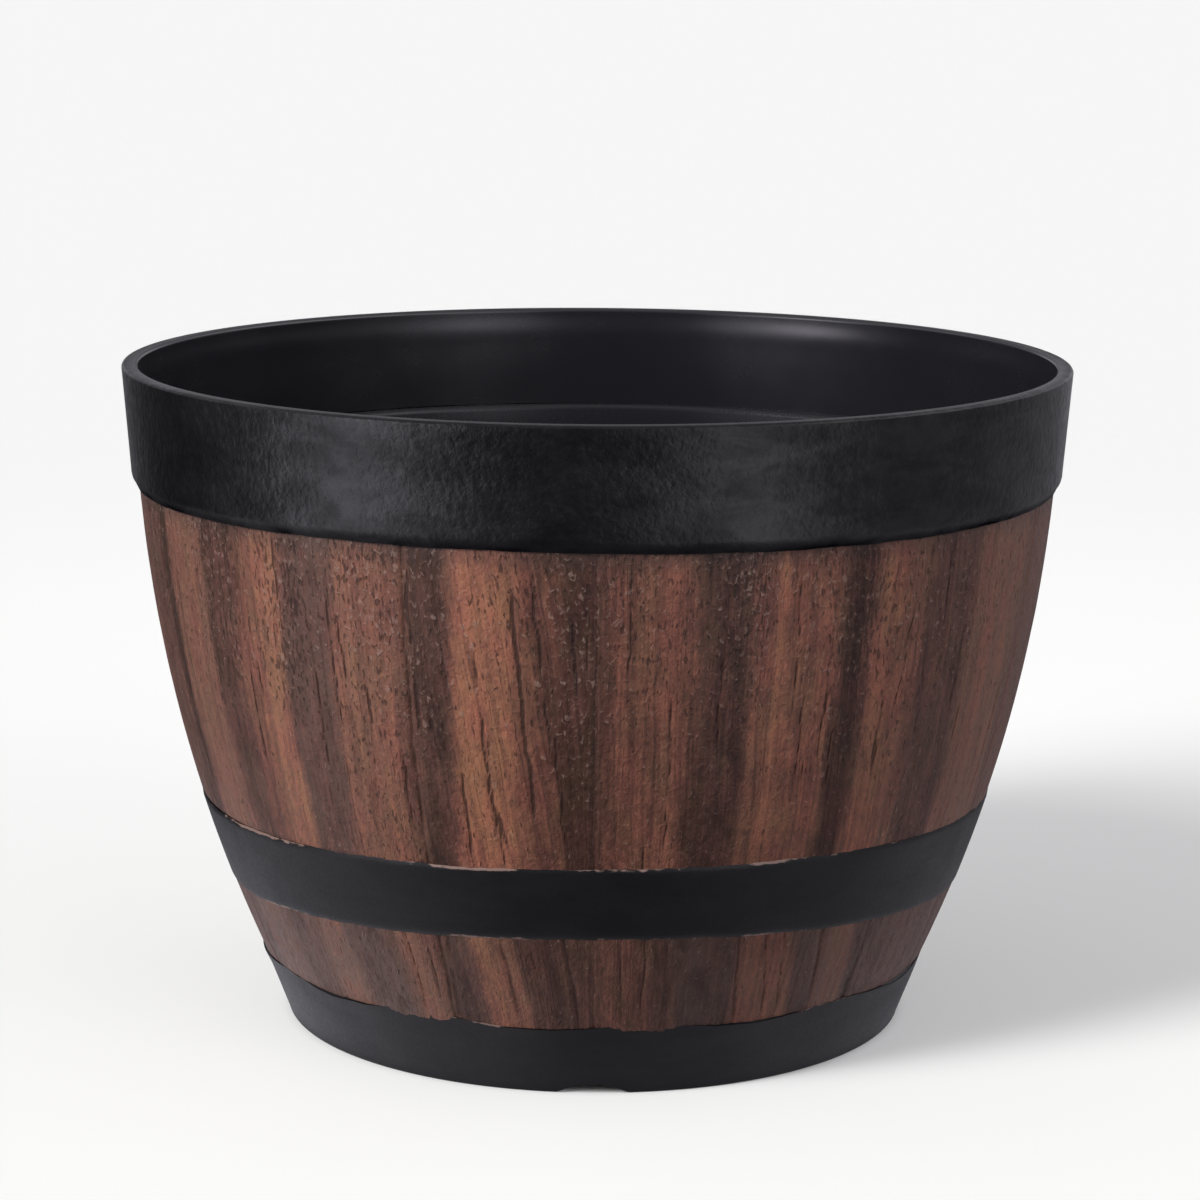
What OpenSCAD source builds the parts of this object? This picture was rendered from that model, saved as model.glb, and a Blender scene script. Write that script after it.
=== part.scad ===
// Resin half-barrel planter: a stave shell with a rim collar, a middle hoop, a foot ring and drain plugs.
// Millimetres, +Z up, origin on the floor at the centre of the foot. The front of the planter faces -Y.

/* [Barrel] */
// Outer diameter of the lip
rim_d = 381; // [340:1:420]
// Overall height
height = 267; // [250:1:300]
// Outer diameter of the foot where it meets the floor
base_d = 252; // [235:1:265]
// Radius of the staves' lengthwise curve
stave_arc_r = 585; // [400:5:900]
// Thickness of the shell's wall
shell_wall = 4.6; // [3.6:0.1:6]
// Number of staves round the shell
stave_count = 16; // [8:1:24]
// Width of the groove between two staves, at the mouth
groove_w = 1.2; // [0.8:0.1:2.5]
// Depth of the groove between two staves
groove_depth = 0.9; // [0.6:0.1:2]

/* [Rim collar] */
// Height of the collar
collar_h = 47.5; // [35:0.5:60]
// Width of the lip's top face
lip_w = 6.4; // [5.5:0.1:9]
// How much the collar's outside narrows from the lip down to its bevel
collar_draft = 3.2; // [2:0.1:5]
// How far the collar stands out from the staves above its bevel
collar_step = 3; // [2.4:0.1:4.5]
// Height of the bevel at the collar's lower edge
collar_bevel = 5; // [3:0.5:10]
// How far the collar laps down over the shell's top edge
collar_lap = 4.5; // [3:0.5:10]
// Width of the ledge that shows inside, below the collar
ledge_w = 3; // [1.5:0.1:3.2]

/* [Middle hoop] */
// Height of the hoop's middle above the floor
hoop_z = 82.5; // [70:0.5:120]
// Width of the hoop
hoop_w = 30; // [18:1:40]
// How far the hoop stands out from the staves
hoop_proud = 0.8; // [0.6:0.1:3]
// Depth of the hoop's seat in the staves
hoop_seat = 0.7; // [0.4:0.1:1.5]

/* [Foot ring] */
// Height of the foot ring
foot_h = 29; // [20:1:40]
// How far the foot ring's top edge stands out from the staves
foot_proud = 0.5; // [0.4:0.1:2]
// Distance from the staves' line to the foot's outside, at the floor
foot_wall = 2.9; // [2.5:0.1:6]
// Depth of the foot ring's seat in the staves
foot_seat = 1.4; // [0.8:0.1:2]
// Thickness of the flange under the shell
foot_flange_t = 5; // [4.5:0.1:8]
// Radius of the foot's lower corner
foot_corner = 1.5; // [1:0.5:4]
// Number of drain notches round the foot
notch_count = 4; // [2:1:8]
// Width of a drain notch at the floor
notch_w = 28; // [12:1:36]
// Height of a drain notch
notch_h = 3.8; // [2:0.1:4]

/* [Drainage] */
// Height of the shell floor's underside
floor_z = 9; // [8.5:0.1:14]
// Thickness of the shell's floor
floor_t = 4; // [3:0.1:6]
// Radius of the fillet between the wall and the floor
floor_fillet = 8; // [3:0.5:14]
// Diameter of a drain hole
drain_d = 16; // [10:0.5:22]
// Diameter of the circle that the drain holes lie on
drain_pcd = 150; // [110:1:180]
// Diameter of a plug's flange
plug_flange_d = 25; // [24:0.5:32]
// Thickness of a plug's flange
plug_flange_t = 2.4; // [1.6:0.1:4]
// Height of a plug's finger tab above its flange
tab_h = 10; // [6:0.5:18]
// Width of a plug's finger tab
tab_w = 15; // [10:0.5:20]
// Thickness of a plug's finger tab
tab_t = 3.2; // [2:0.1:5]

/* [Hidden] */

wood_brown = [0.43, 0.26, 0.19];
resin_black = [0.11, 0.11, 0.12];
rubber_grey = [0.16, 0.16, 0.16];

round_fn = 128;
bore_fn = 64;
notch_fn = 96;
tab_fn = 48;
curve_steps = 14;       // straight steps along the full stave curve
corner_steps = 4;       // straight steps round a small corner
seat_gap = 0.15;        // clearance at the edges of a ring's seat
plug_gap = 0.08;        // clearance of a plug's shank in its hole, all round
plug_taper = 0.9;       // how much a plug's shank narrows towards its tip
plug_reach = 1.8;       // how far a plug's shank passes the floor
tab_round = 4;          // rounding of a plug tab's upper corners
drain_count = 4;
foot_lap = 1;           // how far the foot's flange laps inside the shell's lower edge
lip_round = 1.2;        // rounding of the lip's edges
ledge_round = 1.2;      // rounding of the ledge's inner edge
edge_land = 0.5;        // least thickness left at a feathered edge
hoop_bevel = 1.6;       // height of the bevels at the hoop's edges
rib_count = 8;
rib_t = 2.4;            // thickness of the ribs under the floor
rib_clear = 0.6;        // distance from the ribs down to the foot ring's flange
rib_ring_r = 30;        // radius of the ring that joins the ribs
bite = 1;               // how far a cut or a joined solid passes a surface

mouth_r = rim_d / 2;
base_r = base_d / 2;
skirt_z = height - collar_h;
ledge_z = skirt_z + collar_lap;
floor_top = floor_z + floor_t;
stave_top_r = mouth_r - collar_draft - collar_step;
stave_base_r = base_r - foot_wall;

// The staves' outer line is an arc through the base and the collar's lower edge.
chord = [stave_top_r - stave_base_r, skirt_z];
chord_l = norm(chord);
arc_offset = sqrt(stave_arc_r * stave_arc_r - chord_l * chord_l / 4);
arc_centre = [(stave_base_r + stave_top_r) / 2 - chord[1] / chord_l * arc_offset,
              skirt_z / 2 + chord[0] / chord_l * arc_offset];

foot_rim_r = stave_r(foot_flange_t, foot_seat) - shell_wall;
hoop_low_z = hoop_z - hoop_w / 2;
hoop_high_z = hoop_z + hoop_w / 2;
collar_in_r = stave_r(ledge_z, shell_wall) + ledge_w;
rib_low_z = foot_flange_t + rib_clear;
plug_r = drain_d / 2 - plug_gap;

// The fillet inside touches both the floor and the wall's arc.
fillet_centre = [stave_r(floor_top + floor_fillet, shell_wall + floor_fillet), floor_top + floor_fillet];
fillet_angle = atan2(fillet_centre[1] - arc_centre[1], fillet_centre[0] - arc_centre[0]);
fillet_z = fillet_centre[1] + floor_fillet * sin(fillet_angle);

// Radius of the staves' line at height z, moved inwards by inset square to the line
function stave_r(z, inset = 0) =
    let (dz = z - arc_centre[1])
    arc_centre[0] + sqrt(pow(stave_arc_r - inset, 2) - dz * dz);

// Points up the staves' line from z0 to z1, as many as its share of the full curve needs
function stave_line(z0, z1, inset = 0) =
    let (n = max(1, ceil(curve_steps * abs(z1 - z0) / height)))
    [for (i = [0:n]) let (z = z0 + (z1 - z0) * i / n) [stave_r(z, inset), z]];

// Points round a corner of radius r about centre c, from angle a0 to a1
function corner(c, r, a0, a1) =
    [for (i = [0:corner_steps]) let (a = a0 + (a1 - a0) * i / corner_steps) c + r * [cos(a), sin(a)]];

// One copy of the children at each of count places round the axis
module around(count, start = 0) {
    for (i = [0:count - 1]) rotate([0, 0, start + i * 360 / count]) children();
}

module turned(points) {
    rotate_extrude($fn = round_fn) polygon(points);
}

// The wall and floor in section: outside upwards with its two seats, then inside downwards
function shell_section() =
    let (ledge_in_r = stave_r(ledge_z, shell_wall))
    concat(
        stave_line(foot_flange_t, foot_h, foot_seat),
        stave_line(foot_h, hoop_low_z),
        stave_line(hoop_low_z, hoop_high_z, hoop_seat),
        stave_line(hoop_high_z, ledge_z),
        corner([ledge_in_r + ledge_round, ledge_z - ledge_round], ledge_round, 90, 180),
        stave_line(ledge_z - 2 * ledge_round, fillet_z, shell_wall),
        corner(fillet_centre, floor_fillet, fillet_angle, -90),
        [[0, floor_top], [0, floor_z], [foot_rim_r, floor_z], [foot_rim_r, foot_flange_t]]
    );

// A thin sector that follows the staves' line, one groove deep
module stave_groove() {
    z1 = skirt_z + collar_lap / 2;
    angle = groove_w / mouth_r * 180 / PI;
    rotate([0, 0, -90 - angle / 2])
        rotate_extrude(angle = angle, $fn = round_fn)
            polygon(concat(stave_line(foot_h - bite, z1, groove_depth), stave_line(z1, foot_h - bite, -bite)));
}

module floor_ribs() {
    around(rib_count, 180 / rib_count)
        translate([rib_ring_r, -rib_t / 2, rib_low_z])
            cube([foot_rim_r + bite - rib_ring_r, rib_t, floor_z + bite - rib_low_z]);
    translate([0, 0, rib_low_z]) difference() {
        cylinder(r = rib_ring_r + rib_t / 2, h = floor_z + bite - rib_low_z, $fn = round_fn);
        translate([0, 0, -bite]) cylinder(r = rib_ring_r - rib_t / 2, h = floor_z + 3 * bite, $fn = round_fn);
    }
}

module barrel_shell() {
    color(wood_brown) union() {
        difference() {
            turned(shell_section());
            around(stave_count) stave_groove();
            around(drain_count)
                translate([drain_pcd / 2, 0, floor_z - bite])
                    cylinder(d = drain_d, h = floor_t + 2 * bite, $fn = bore_fn);
        }
        floor_ribs();
    }
}

module rim_collar() {
    bevel_r = mouth_r - collar_draft;
    lip_in_r = mouth_r - lip_w;
    skirt_in = stave_line(skirt_z, ledge_z, -seat_gap);
    color(resin_black)
        turned(concat(
            skirt_in,
            [[collar_in_r, ledge_z]],
            corner([lip_in_r + lip_round, height - lip_round], lip_round, 180, 90),
            corner([mouth_r - lip_round, height - lip_round], lip_round, 90, 0),
            [[bevel_r, skirt_z + collar_bevel], [skirt_in[0][0] + edge_land, skirt_z]]
        ));
}

// A band that lies on the bottom of its seat, with bevelled edges
module middle_hoop() {
    z0 = hoop_low_z + seat_gap;
    z1 = hoop_high_z - seat_gap;
    color(resin_black)
        turned(concat(
            stave_line(z1, z0, hoop_seat),
            stave_line(z0, z0),
            stave_line(z0 + hoop_bevel, z1 - hoop_bevel, -hoop_proud),
            stave_line(z1, z1)
        ));
}

// A cylinder laid through the foot, whose arc is notch_w wide at the floor and notch_h high
module drain_notch() {
    arc_r = (pow(notch_w / 2, 2) + notch_h * notch_h) / (2 * notch_h);
    translate([foot_rim_r / 2, 0, notch_h - arc_r])
        rotate([0, 90, 0]) cylinder(r = arc_r, h = base_r, $fn = notch_fn);
}

module foot_ring() {
    top_r = stave_r(foot_h) + foot_proud;
    seat = stave_line(foot_h - seat_gap, foot_flange_t, foot_seat - seat_gap);
    color(resin_black) difference() {
        turned(concat(
            seat,
            [[foot_rim_r - foot_lap, foot_flange_t], [foot_rim_r - foot_lap, 0]],
            corner([base_r - foot_corner, foot_corner], foot_corner, -90, 0),
            [[top_r, foot_h - seat_gap - foot_proud], [seat[0][0] + foot_seat, foot_h - seat_gap]]
        ));
        around(notch_count, -90) drain_notch();
    }
}

// An upright plate with round upper corners, standing on z = 0 and sunk by depth
module finger_tab(depth) {
    inner_w = tab_w - 2 * tab_round;
    translate([-tab_t / 2, -tab_w / 2, -depth]) cube([tab_t, tab_w, depth + tab_h - tab_round]);
    translate([-tab_t / 2, -inner_w / 2, -depth]) cube([tab_t, inner_w, depth + tab_h]);
    for (side = [-1, 1])
        translate([-tab_t / 2, side * inner_w / 2, tab_h - tab_round])
            rotate([0, 90, 0]) cylinder(r = tab_round, h = tab_t, $fn = tab_fn);
}

// A tapered bung with a flange that lies on the floor and a tab to pull it by
module plug_shape() {
    tip_z = floor_z - plug_reach;
    top_z = floor_top + plug_flange_t;
    flange_r = plug_flange_d / 2;
    bevel = plug_flange_t / 2;
    union() {
        turned([
            [0, tip_z], [plug_r - plug_taper, tip_z], [plug_r, floor_top],
            [flange_r, floor_top], [flange_r, top_z - bevel], [flange_r - bevel, top_z], [0, top_z]
        ]);
        translate([0, 0, top_z]) finger_tab(bevel);
    }
}

module drain_plug(number) {
    color(rubber_grey)
        rotate([0, 0, (number - 1) * 360 / drain_count])
            translate([drain_pcd / 2, 0, 0]) plug_shape();
}

barrel_shell();
rim_collar();
middle_hoop();
foot_ring();
drain_plug(1);  // drain_plug_1
drain_plug(2);  // drain_plug_2
drain_plug(3);  // drain_plug_3
drain_plug(4);  // drain_plug_4
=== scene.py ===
"""Looks of a resin half-barrel planter: printed staves, black collar and hoops, and rubber drain plugs."""

import logging
import math
from dataclasses import dataclass
from enum import Enum

import bpy
import numpy as np
from mathutils import Matrix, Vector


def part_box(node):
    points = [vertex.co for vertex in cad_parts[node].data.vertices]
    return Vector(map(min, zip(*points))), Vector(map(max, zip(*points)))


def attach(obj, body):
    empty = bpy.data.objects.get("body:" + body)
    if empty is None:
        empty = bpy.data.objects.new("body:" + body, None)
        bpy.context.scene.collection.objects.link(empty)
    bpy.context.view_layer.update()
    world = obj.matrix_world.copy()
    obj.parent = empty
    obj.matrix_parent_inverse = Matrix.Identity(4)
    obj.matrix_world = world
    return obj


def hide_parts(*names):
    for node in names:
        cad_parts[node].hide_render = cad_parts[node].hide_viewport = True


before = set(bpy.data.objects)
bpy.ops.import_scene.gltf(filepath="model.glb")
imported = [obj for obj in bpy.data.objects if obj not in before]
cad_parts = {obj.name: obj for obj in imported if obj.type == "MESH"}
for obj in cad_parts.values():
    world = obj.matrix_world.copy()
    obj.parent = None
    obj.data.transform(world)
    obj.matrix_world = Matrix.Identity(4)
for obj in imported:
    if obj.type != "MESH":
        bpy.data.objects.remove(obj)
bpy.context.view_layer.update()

Socket = bpy.types.NodeSocket
Levels = tuple[tuple[float, float], ...]

LOG = logging.getLogger("planter")
BODY = "planter"

MM = 0.001
FULL_TURN = 2.0 * math.pi


class Slot(Enum):
    """The record's material slots."""

    WOOD = "wood_grain_resin"
    BLACK = "black_resin"
    RUBBER = "black_rubber"


def smooth_step(value: np.ndarray, low: float, high: float) -> np.ndarray:
    """Returns 3t^2 - 2t^3, which eases from 0 at low to 1 at high, flat outside; low may be above high."""
    t = np.clip((value - low) / (high - low), 0.0, 1.0)
    return t * t * (3.0 - 2.0 * t)


def hashed(ix: np.ndarray, iy: np.ndarray, seed: int) -> np.ndarray:
    """Gives each lattice point a fixed number from 0 to 1, by mixing the bits of its indices and the seed.

    Args:
        ix: Whole first indices.
        iy: Whole second indices.
        seed: Which of the patterns to use.

    Returns:
        Numbers from 0 to 1, one for each point.
    """
    bits = ix.astype(np.uint64) * np.uint64(0x9E3779B97F4A7C15)
    bits ^= iy.astype(np.uint64) * np.uint64(0xC2B2AE3D27D4EB4F)
    bits += np.uint64(seed) * np.uint64(0x165667B19E3779F9)
    bits ^= bits >> np.uint64(29)
    bits *= np.uint64(0xBF58476D1CE4E5B9)
    bits ^= bits >> np.uint64(32)
    return (bits & np.uint64(0xFFFFFF)).astype(float) / float(0x1000000)


def value_noise(u: np.ndarray, v: np.ndarray, seed: int, period: int) -> np.ndarray:
    """Smooth noise: lattice numbers blended with 3t^2 - 2t^3 along both axes, repeating along u.

    Args:
        u: First coordinates, in cells.
        v: Second coordinates, in cells.
        seed: Which of the patterns to use.
        period: Cells along u after which the pattern repeats.

    Returns:
        Numbers from -1 to 1, in the shape that u and v share.
    """
    cell_u = np.floor(u)
    cell_v = np.floor(v)
    along_u = smooth_step(u - cell_u, 0.0, 1.0)
    along_v = smooth_step(v - cell_v, 0.0, 1.0)
    iu = cell_u.astype(np.int64)
    iv = cell_v.astype(np.int64)
    left = iu % period
    right = (iu + 1) % period
    near = hashed(left, iv, seed) * (1.0 - along_u) + hashed(right, iv, seed) * along_u
    far = hashed(left, iv + 1, seed) * (1.0 - along_u) + hashed(right, iv + 1, seed) * along_u
    return 2.0 * (near * (1.0 - along_v) + far * along_v) - 1.0


def layered_noise(u: np.ndarray, v: np.ndarray, seed: int, period: int, layers: int = 3) -> np.ndarray:
    """Sums value noise over layers, each with half the cell size and half the strength of the one before.

    Args:
        u: First coordinates, in cells of the coarsest layer.
        v: Second coordinates, in the same cells.
        seed: Which of the patterns to use.
        period: Coarse cells along u after which the pattern repeats.
        layers: How many layers to add up.

    Returns:
        Numbers from about -1 to 1.
    """
    total = np.zeros(np.broadcast(u, v).shape)
    for layer in range(layers):
        finer = 2 ** layer
        total += value_noise(u * finer, v * finer, seed + layer, period * finer) / finer
    return total / (2.0 - 2.0 ** (1 - layers))


@dataclass(frozen=True)
class Ripple:
    """Layered noise round the shell, which repeats after a full turn.

    Attributes:
        width: Width of a cell in degrees.
        rate: Cells for each height share.
        seed: Which of the patterns to use.
        strength: Height of the noise.
    """

    width: float
    rate: float
    seed: int
    strength: float

    def at(self, azimuth: np.ndarray, share: np.ndarray) -> np.ndarray:
        """Returns strength times the noise of azimuth over width and of share times rate."""
        period = int(360.0 / self.width)
        return self.strength * layered_noise(azimuth / self.width, share * self.rate, self.seed, period)


def turned_away(azimuth: np.ndarray, middle: np.ndarray | float) -> np.ndarray:
    """Returns how far azimuths lie from a middle one, in degrees from -180 to 180."""
    return (azimuth - middle + 180.0) % 360.0 - 180.0


@dataclass(frozen=True)
class StaveLine:
    """The staves' outer line: an arc in the radius-height plane, in metres.

    Attributes:
        top_r: Radius at the line's upper end.
        top_z: Height of that end; the lower end is at height 0.
        base_r: Radius at the lower end.
        arc_r: The arc's own radius.
    """

    top_r: float
    top_z: float
    base_r: float
    arc_r: float

    def centre(self) -> tuple[float, float]:
        """Returns the arc's centre: from the chord's middle, square to the chord, towards the axis."""
        run = self.top_r - self.base_r
        chord = math.hypot(run, self.top_z)
        reach = math.sqrt(self.arc_r ** 2 - chord ** 2 / 4.0)
        middle_r = (self.base_r + self.top_r) / 2.0
        return middle_r - self.top_z / chord * reach, self.top_z / 2.0 + run / chord * reach

    def radius(self, z: np.ndarray | float, inset: float = 0.0) -> np.ndarray | float:
        """Returns the radii at heights z by Pythagoras about the arc's centre, on its radius less inset."""
        centre_r, centre_z = self.centre()
        return centre_r + np.sqrt((self.arc_r - inset) ** 2 - (z - centre_z) ** 2)

    def run(self, low_z: float, high_z: float, inset: float, steps: int) -> np.ndarray:
        """Returns rows of radius and height in steps up or down the line, or a line inset inside it."""
        z = np.linspace(low_z, high_z, steps + 1)
        return np.stack([self.radius(z, inset), z], axis=1)


def corner(
    centre: tuple[float, float], radius: float, start: float, end: float, steps: int = 6
) -> np.ndarray:
    """Returns centre plus radius times cosine and sine, from start to end degrees: 0 outwards, 90 up."""
    angle = np.radians(np.linspace(start, end, steps + 1))
    return np.stack([centre[0] + radius * np.cos(angle), centre[1] + radius * np.sin(angle)], axis=1)


def straight(start: tuple[float, float], end: tuple[float, float], steps: int) -> np.ndarray:
    """Returns evenly spaced rows of radius and height from start to end, both among them."""
    return np.linspace(np.array(start), np.array(end), steps + 1)


def new_mesh_object(name: str, points: np.ndarray, faces: list[np.ndarray]) -> bpy.types.Object:
    """Makes a smooth-shaded mesh object at the origin.

    Args:
        name: The piece's name.
        points: Vertex places, one row each.
        faces: Arrays of vertex numbers, one row for each face; each array holds faces of one size.

    Returns:
        The new object, linked to the scene.
    """
    mesh = bpy.data.meshes.new(name)
    corners = np.concatenate([group.ravel() for group in faces])
    sizes = np.concatenate([np.full(len(group), group.shape[1]) for group in faces])
    starts = np.concatenate([[0], np.cumsum(sizes)[:-1]])
    mesh.vertices.add(len(points))
    mesh.vertices.foreach_set("co", points.astype(np.float32).ravel())
    mesh.loops.add(len(corners))
    mesh.loops.foreach_set("vertex_index", corners.astype(np.int32))
    mesh.polygons.add(len(sizes))
    mesh.polygons.foreach_set("loop_start", starts.astype(np.int32))
    mesh.update(calc_edges=True)
    mesh.shade_smooth()
    made = bpy.data.objects.new(name, mesh)
    bpy.context.scene.collection.objects.link(made)
    return made


@dataclass
class Turned:
    """A closed surface of revolution, whose radius and height may vary round it.

    The point of row i and column j lies at radius r[i, j], at height z[i, j] and at j steps of azimuth, with
    azimuth 0 at the front (-Y) and growing towards +X. The rows run up the outside and down the inside. With
    loop set the last row joins the first; without it the first and last rows lie on the axis.
    """

    r: np.ndarray
    z: np.ndarray
    loop: bool = True

    @classmethod
    def from_profile(cls, profile: np.ndarray, columns: int, loop: bool = True) -> "Turned":
        """Returns the surface that repeats a profile of radius and height in columns round the axis."""
        ones = np.ones((1, columns))
        return cls(profile[:, :1] * ones, profile[:, 1:] * ones, loop)

    def azimuth(self) -> np.ndarray:
        """Returns the azimuth of each column, in radians."""
        columns = self.r.shape[1]
        return np.arange(columns) * FULL_TURN / columns

    def places(self) -> np.ndarray:
        """Returns x = r sin(a), y = -r cos(a) and z of every point, one row each."""
        azimuth = self.azimuth()
        return np.stack([self.r * np.sin(azimuth), -self.r * np.cos(azimuth), self.z], axis=-1).reshape(-1, 3)

    def quads(self, first: int, last: int) -> tuple[np.ndarray, np.ndarray]:
        """Joins neighbouring rows.

        Args:
            first: The first lower row.
            last: One past the last lower row.

        Returns:
            Vertex numbers of the four-cornered faces, and for each corner its row and unwrapped column.
        """
        rows, columns = self.r.shape
        i, j = np.meshgrid(np.arange(first, last), np.arange(columns), indexing="ij")
        i = i.ravel()
        j = j.ravel()
        cells = np.stack([[i, j], [i, j + 1], [i + 1, j + 1], [i + 1, j]], axis=0)
        cells = cells.transpose(2, 0, 1)
        return (cells[..., 0] % rows) * columns + cells[..., 1] % columns, cells

    def fan(self, rows: tuple[int, int, int], ahead: tuple[int, int, int]) -> tuple[np.ndarray, np.ndarray]:
        """Joins the row next to an end with the end's point on the axis, which is that row's first column.

        Args:
            rows: The row of each of a face's three corners.
            ahead: How many columns each corner lies ahead of the face's own.

        Returns:
            Vertex numbers of the three-cornered faces, and for each corner its row and unwrapped column.
        """
        last, columns = self.r.shape[0] - 1, self.r.shape[1]
        j = np.arange(columns)
        corners = [np.stack([np.full_like(j, row), j + step], axis=1) for row, step in zip(rows, ahead)]
        cells = np.stack(corners, axis=1)
        on_axis = (cells[..., 0] == 0) | (cells[..., 0] == last)
        numbers = cells[..., 0] * columns + np.where(on_axis, 0, cells[..., 1] % columns)
        return numbers, cells.reshape(-1, 2)

    def build(self, name: str, reference_r: float = 0.0) -> bpy.types.Object:
        """Makes the mesh, with a UV map named wrap that holds metres round and metres along the profile.

        Args:
            name: The piece's name.
            reference_r: Radius at which metres round are counted; 0 takes the largest radius.

        Returns:
            The new object.
        """
        rows, columns = self.r.shape
        if self.loop:
            numbers, cells = self.quads(0, rows)
            made = new_mesh_object(name, self.places(), [numbers])
            loop_cells = cells.reshape(-1, 2)
        else:
            numbers, cells = self.quads(1, rows - 2)
            starts, start_cells = self.fan((0, 1, 1), (0, 1, 0))
            ends, end_cells = self.fan((rows - 2, rows - 2, rows - 1), (0, 1, 0))
            points = self.places()
            used = np.ones(len(points), bool)
            used[1:columns] = False
            used[(rows - 1) * columns + 1:] = False
            renumber = np.cumsum(used) - 1
            fans = np.concatenate([starts, ends])
            made = new_mesh_object(name, points[used], [renumber[numbers], renumber[fans]])
            loop_cells = np.concatenate([cells.reshape(-1, 2), start_cells, end_cells])
        along = self.arc_lengths()
        round_it = (reference_r or float(self.r.max())) * FULL_TURN / columns
        uv = np.stack([loop_cells[:, 1] * round_it, along[loop_cells[:, 0]]], axis=1)
        self.put_uv(made, "wrap", uv)
        self.loop_cells = loop_cells
        return made

    def arc_lengths(self) -> np.ndarray:
        """Returns metres along the first column's profile for each row, and once more for the closing row."""
        profile = np.stack([self.r[:, 0], self.z[:, 0]], axis=1)
        steps = np.linalg.norm(np.diff(profile, axis=0, append=profile[:1]), axis=1)
        return np.concatenate([[0.0], np.cumsum(steps)])

    @staticmethod
    def put_uv(made: bpy.types.Object, name: str, values: np.ndarray) -> None:
        """Writes a UV map of that name, with two numbers for each face corner."""
        layer = made.data.uv_layers.new(name=name)
        layer.uv.foreach_set("vector", values.astype(np.float32).ravel())

    @staticmethod
    def put_attribute(made: bpy.types.Object, name: str, values: np.ndarray) -> None:
        """Writes one number on each vertex, under that name."""
        layer = made.data.attributes.new(name, "FLOAT", "POINT")
        layer.data.foreach_set("value", values.astype(np.float32).ravel())


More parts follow.
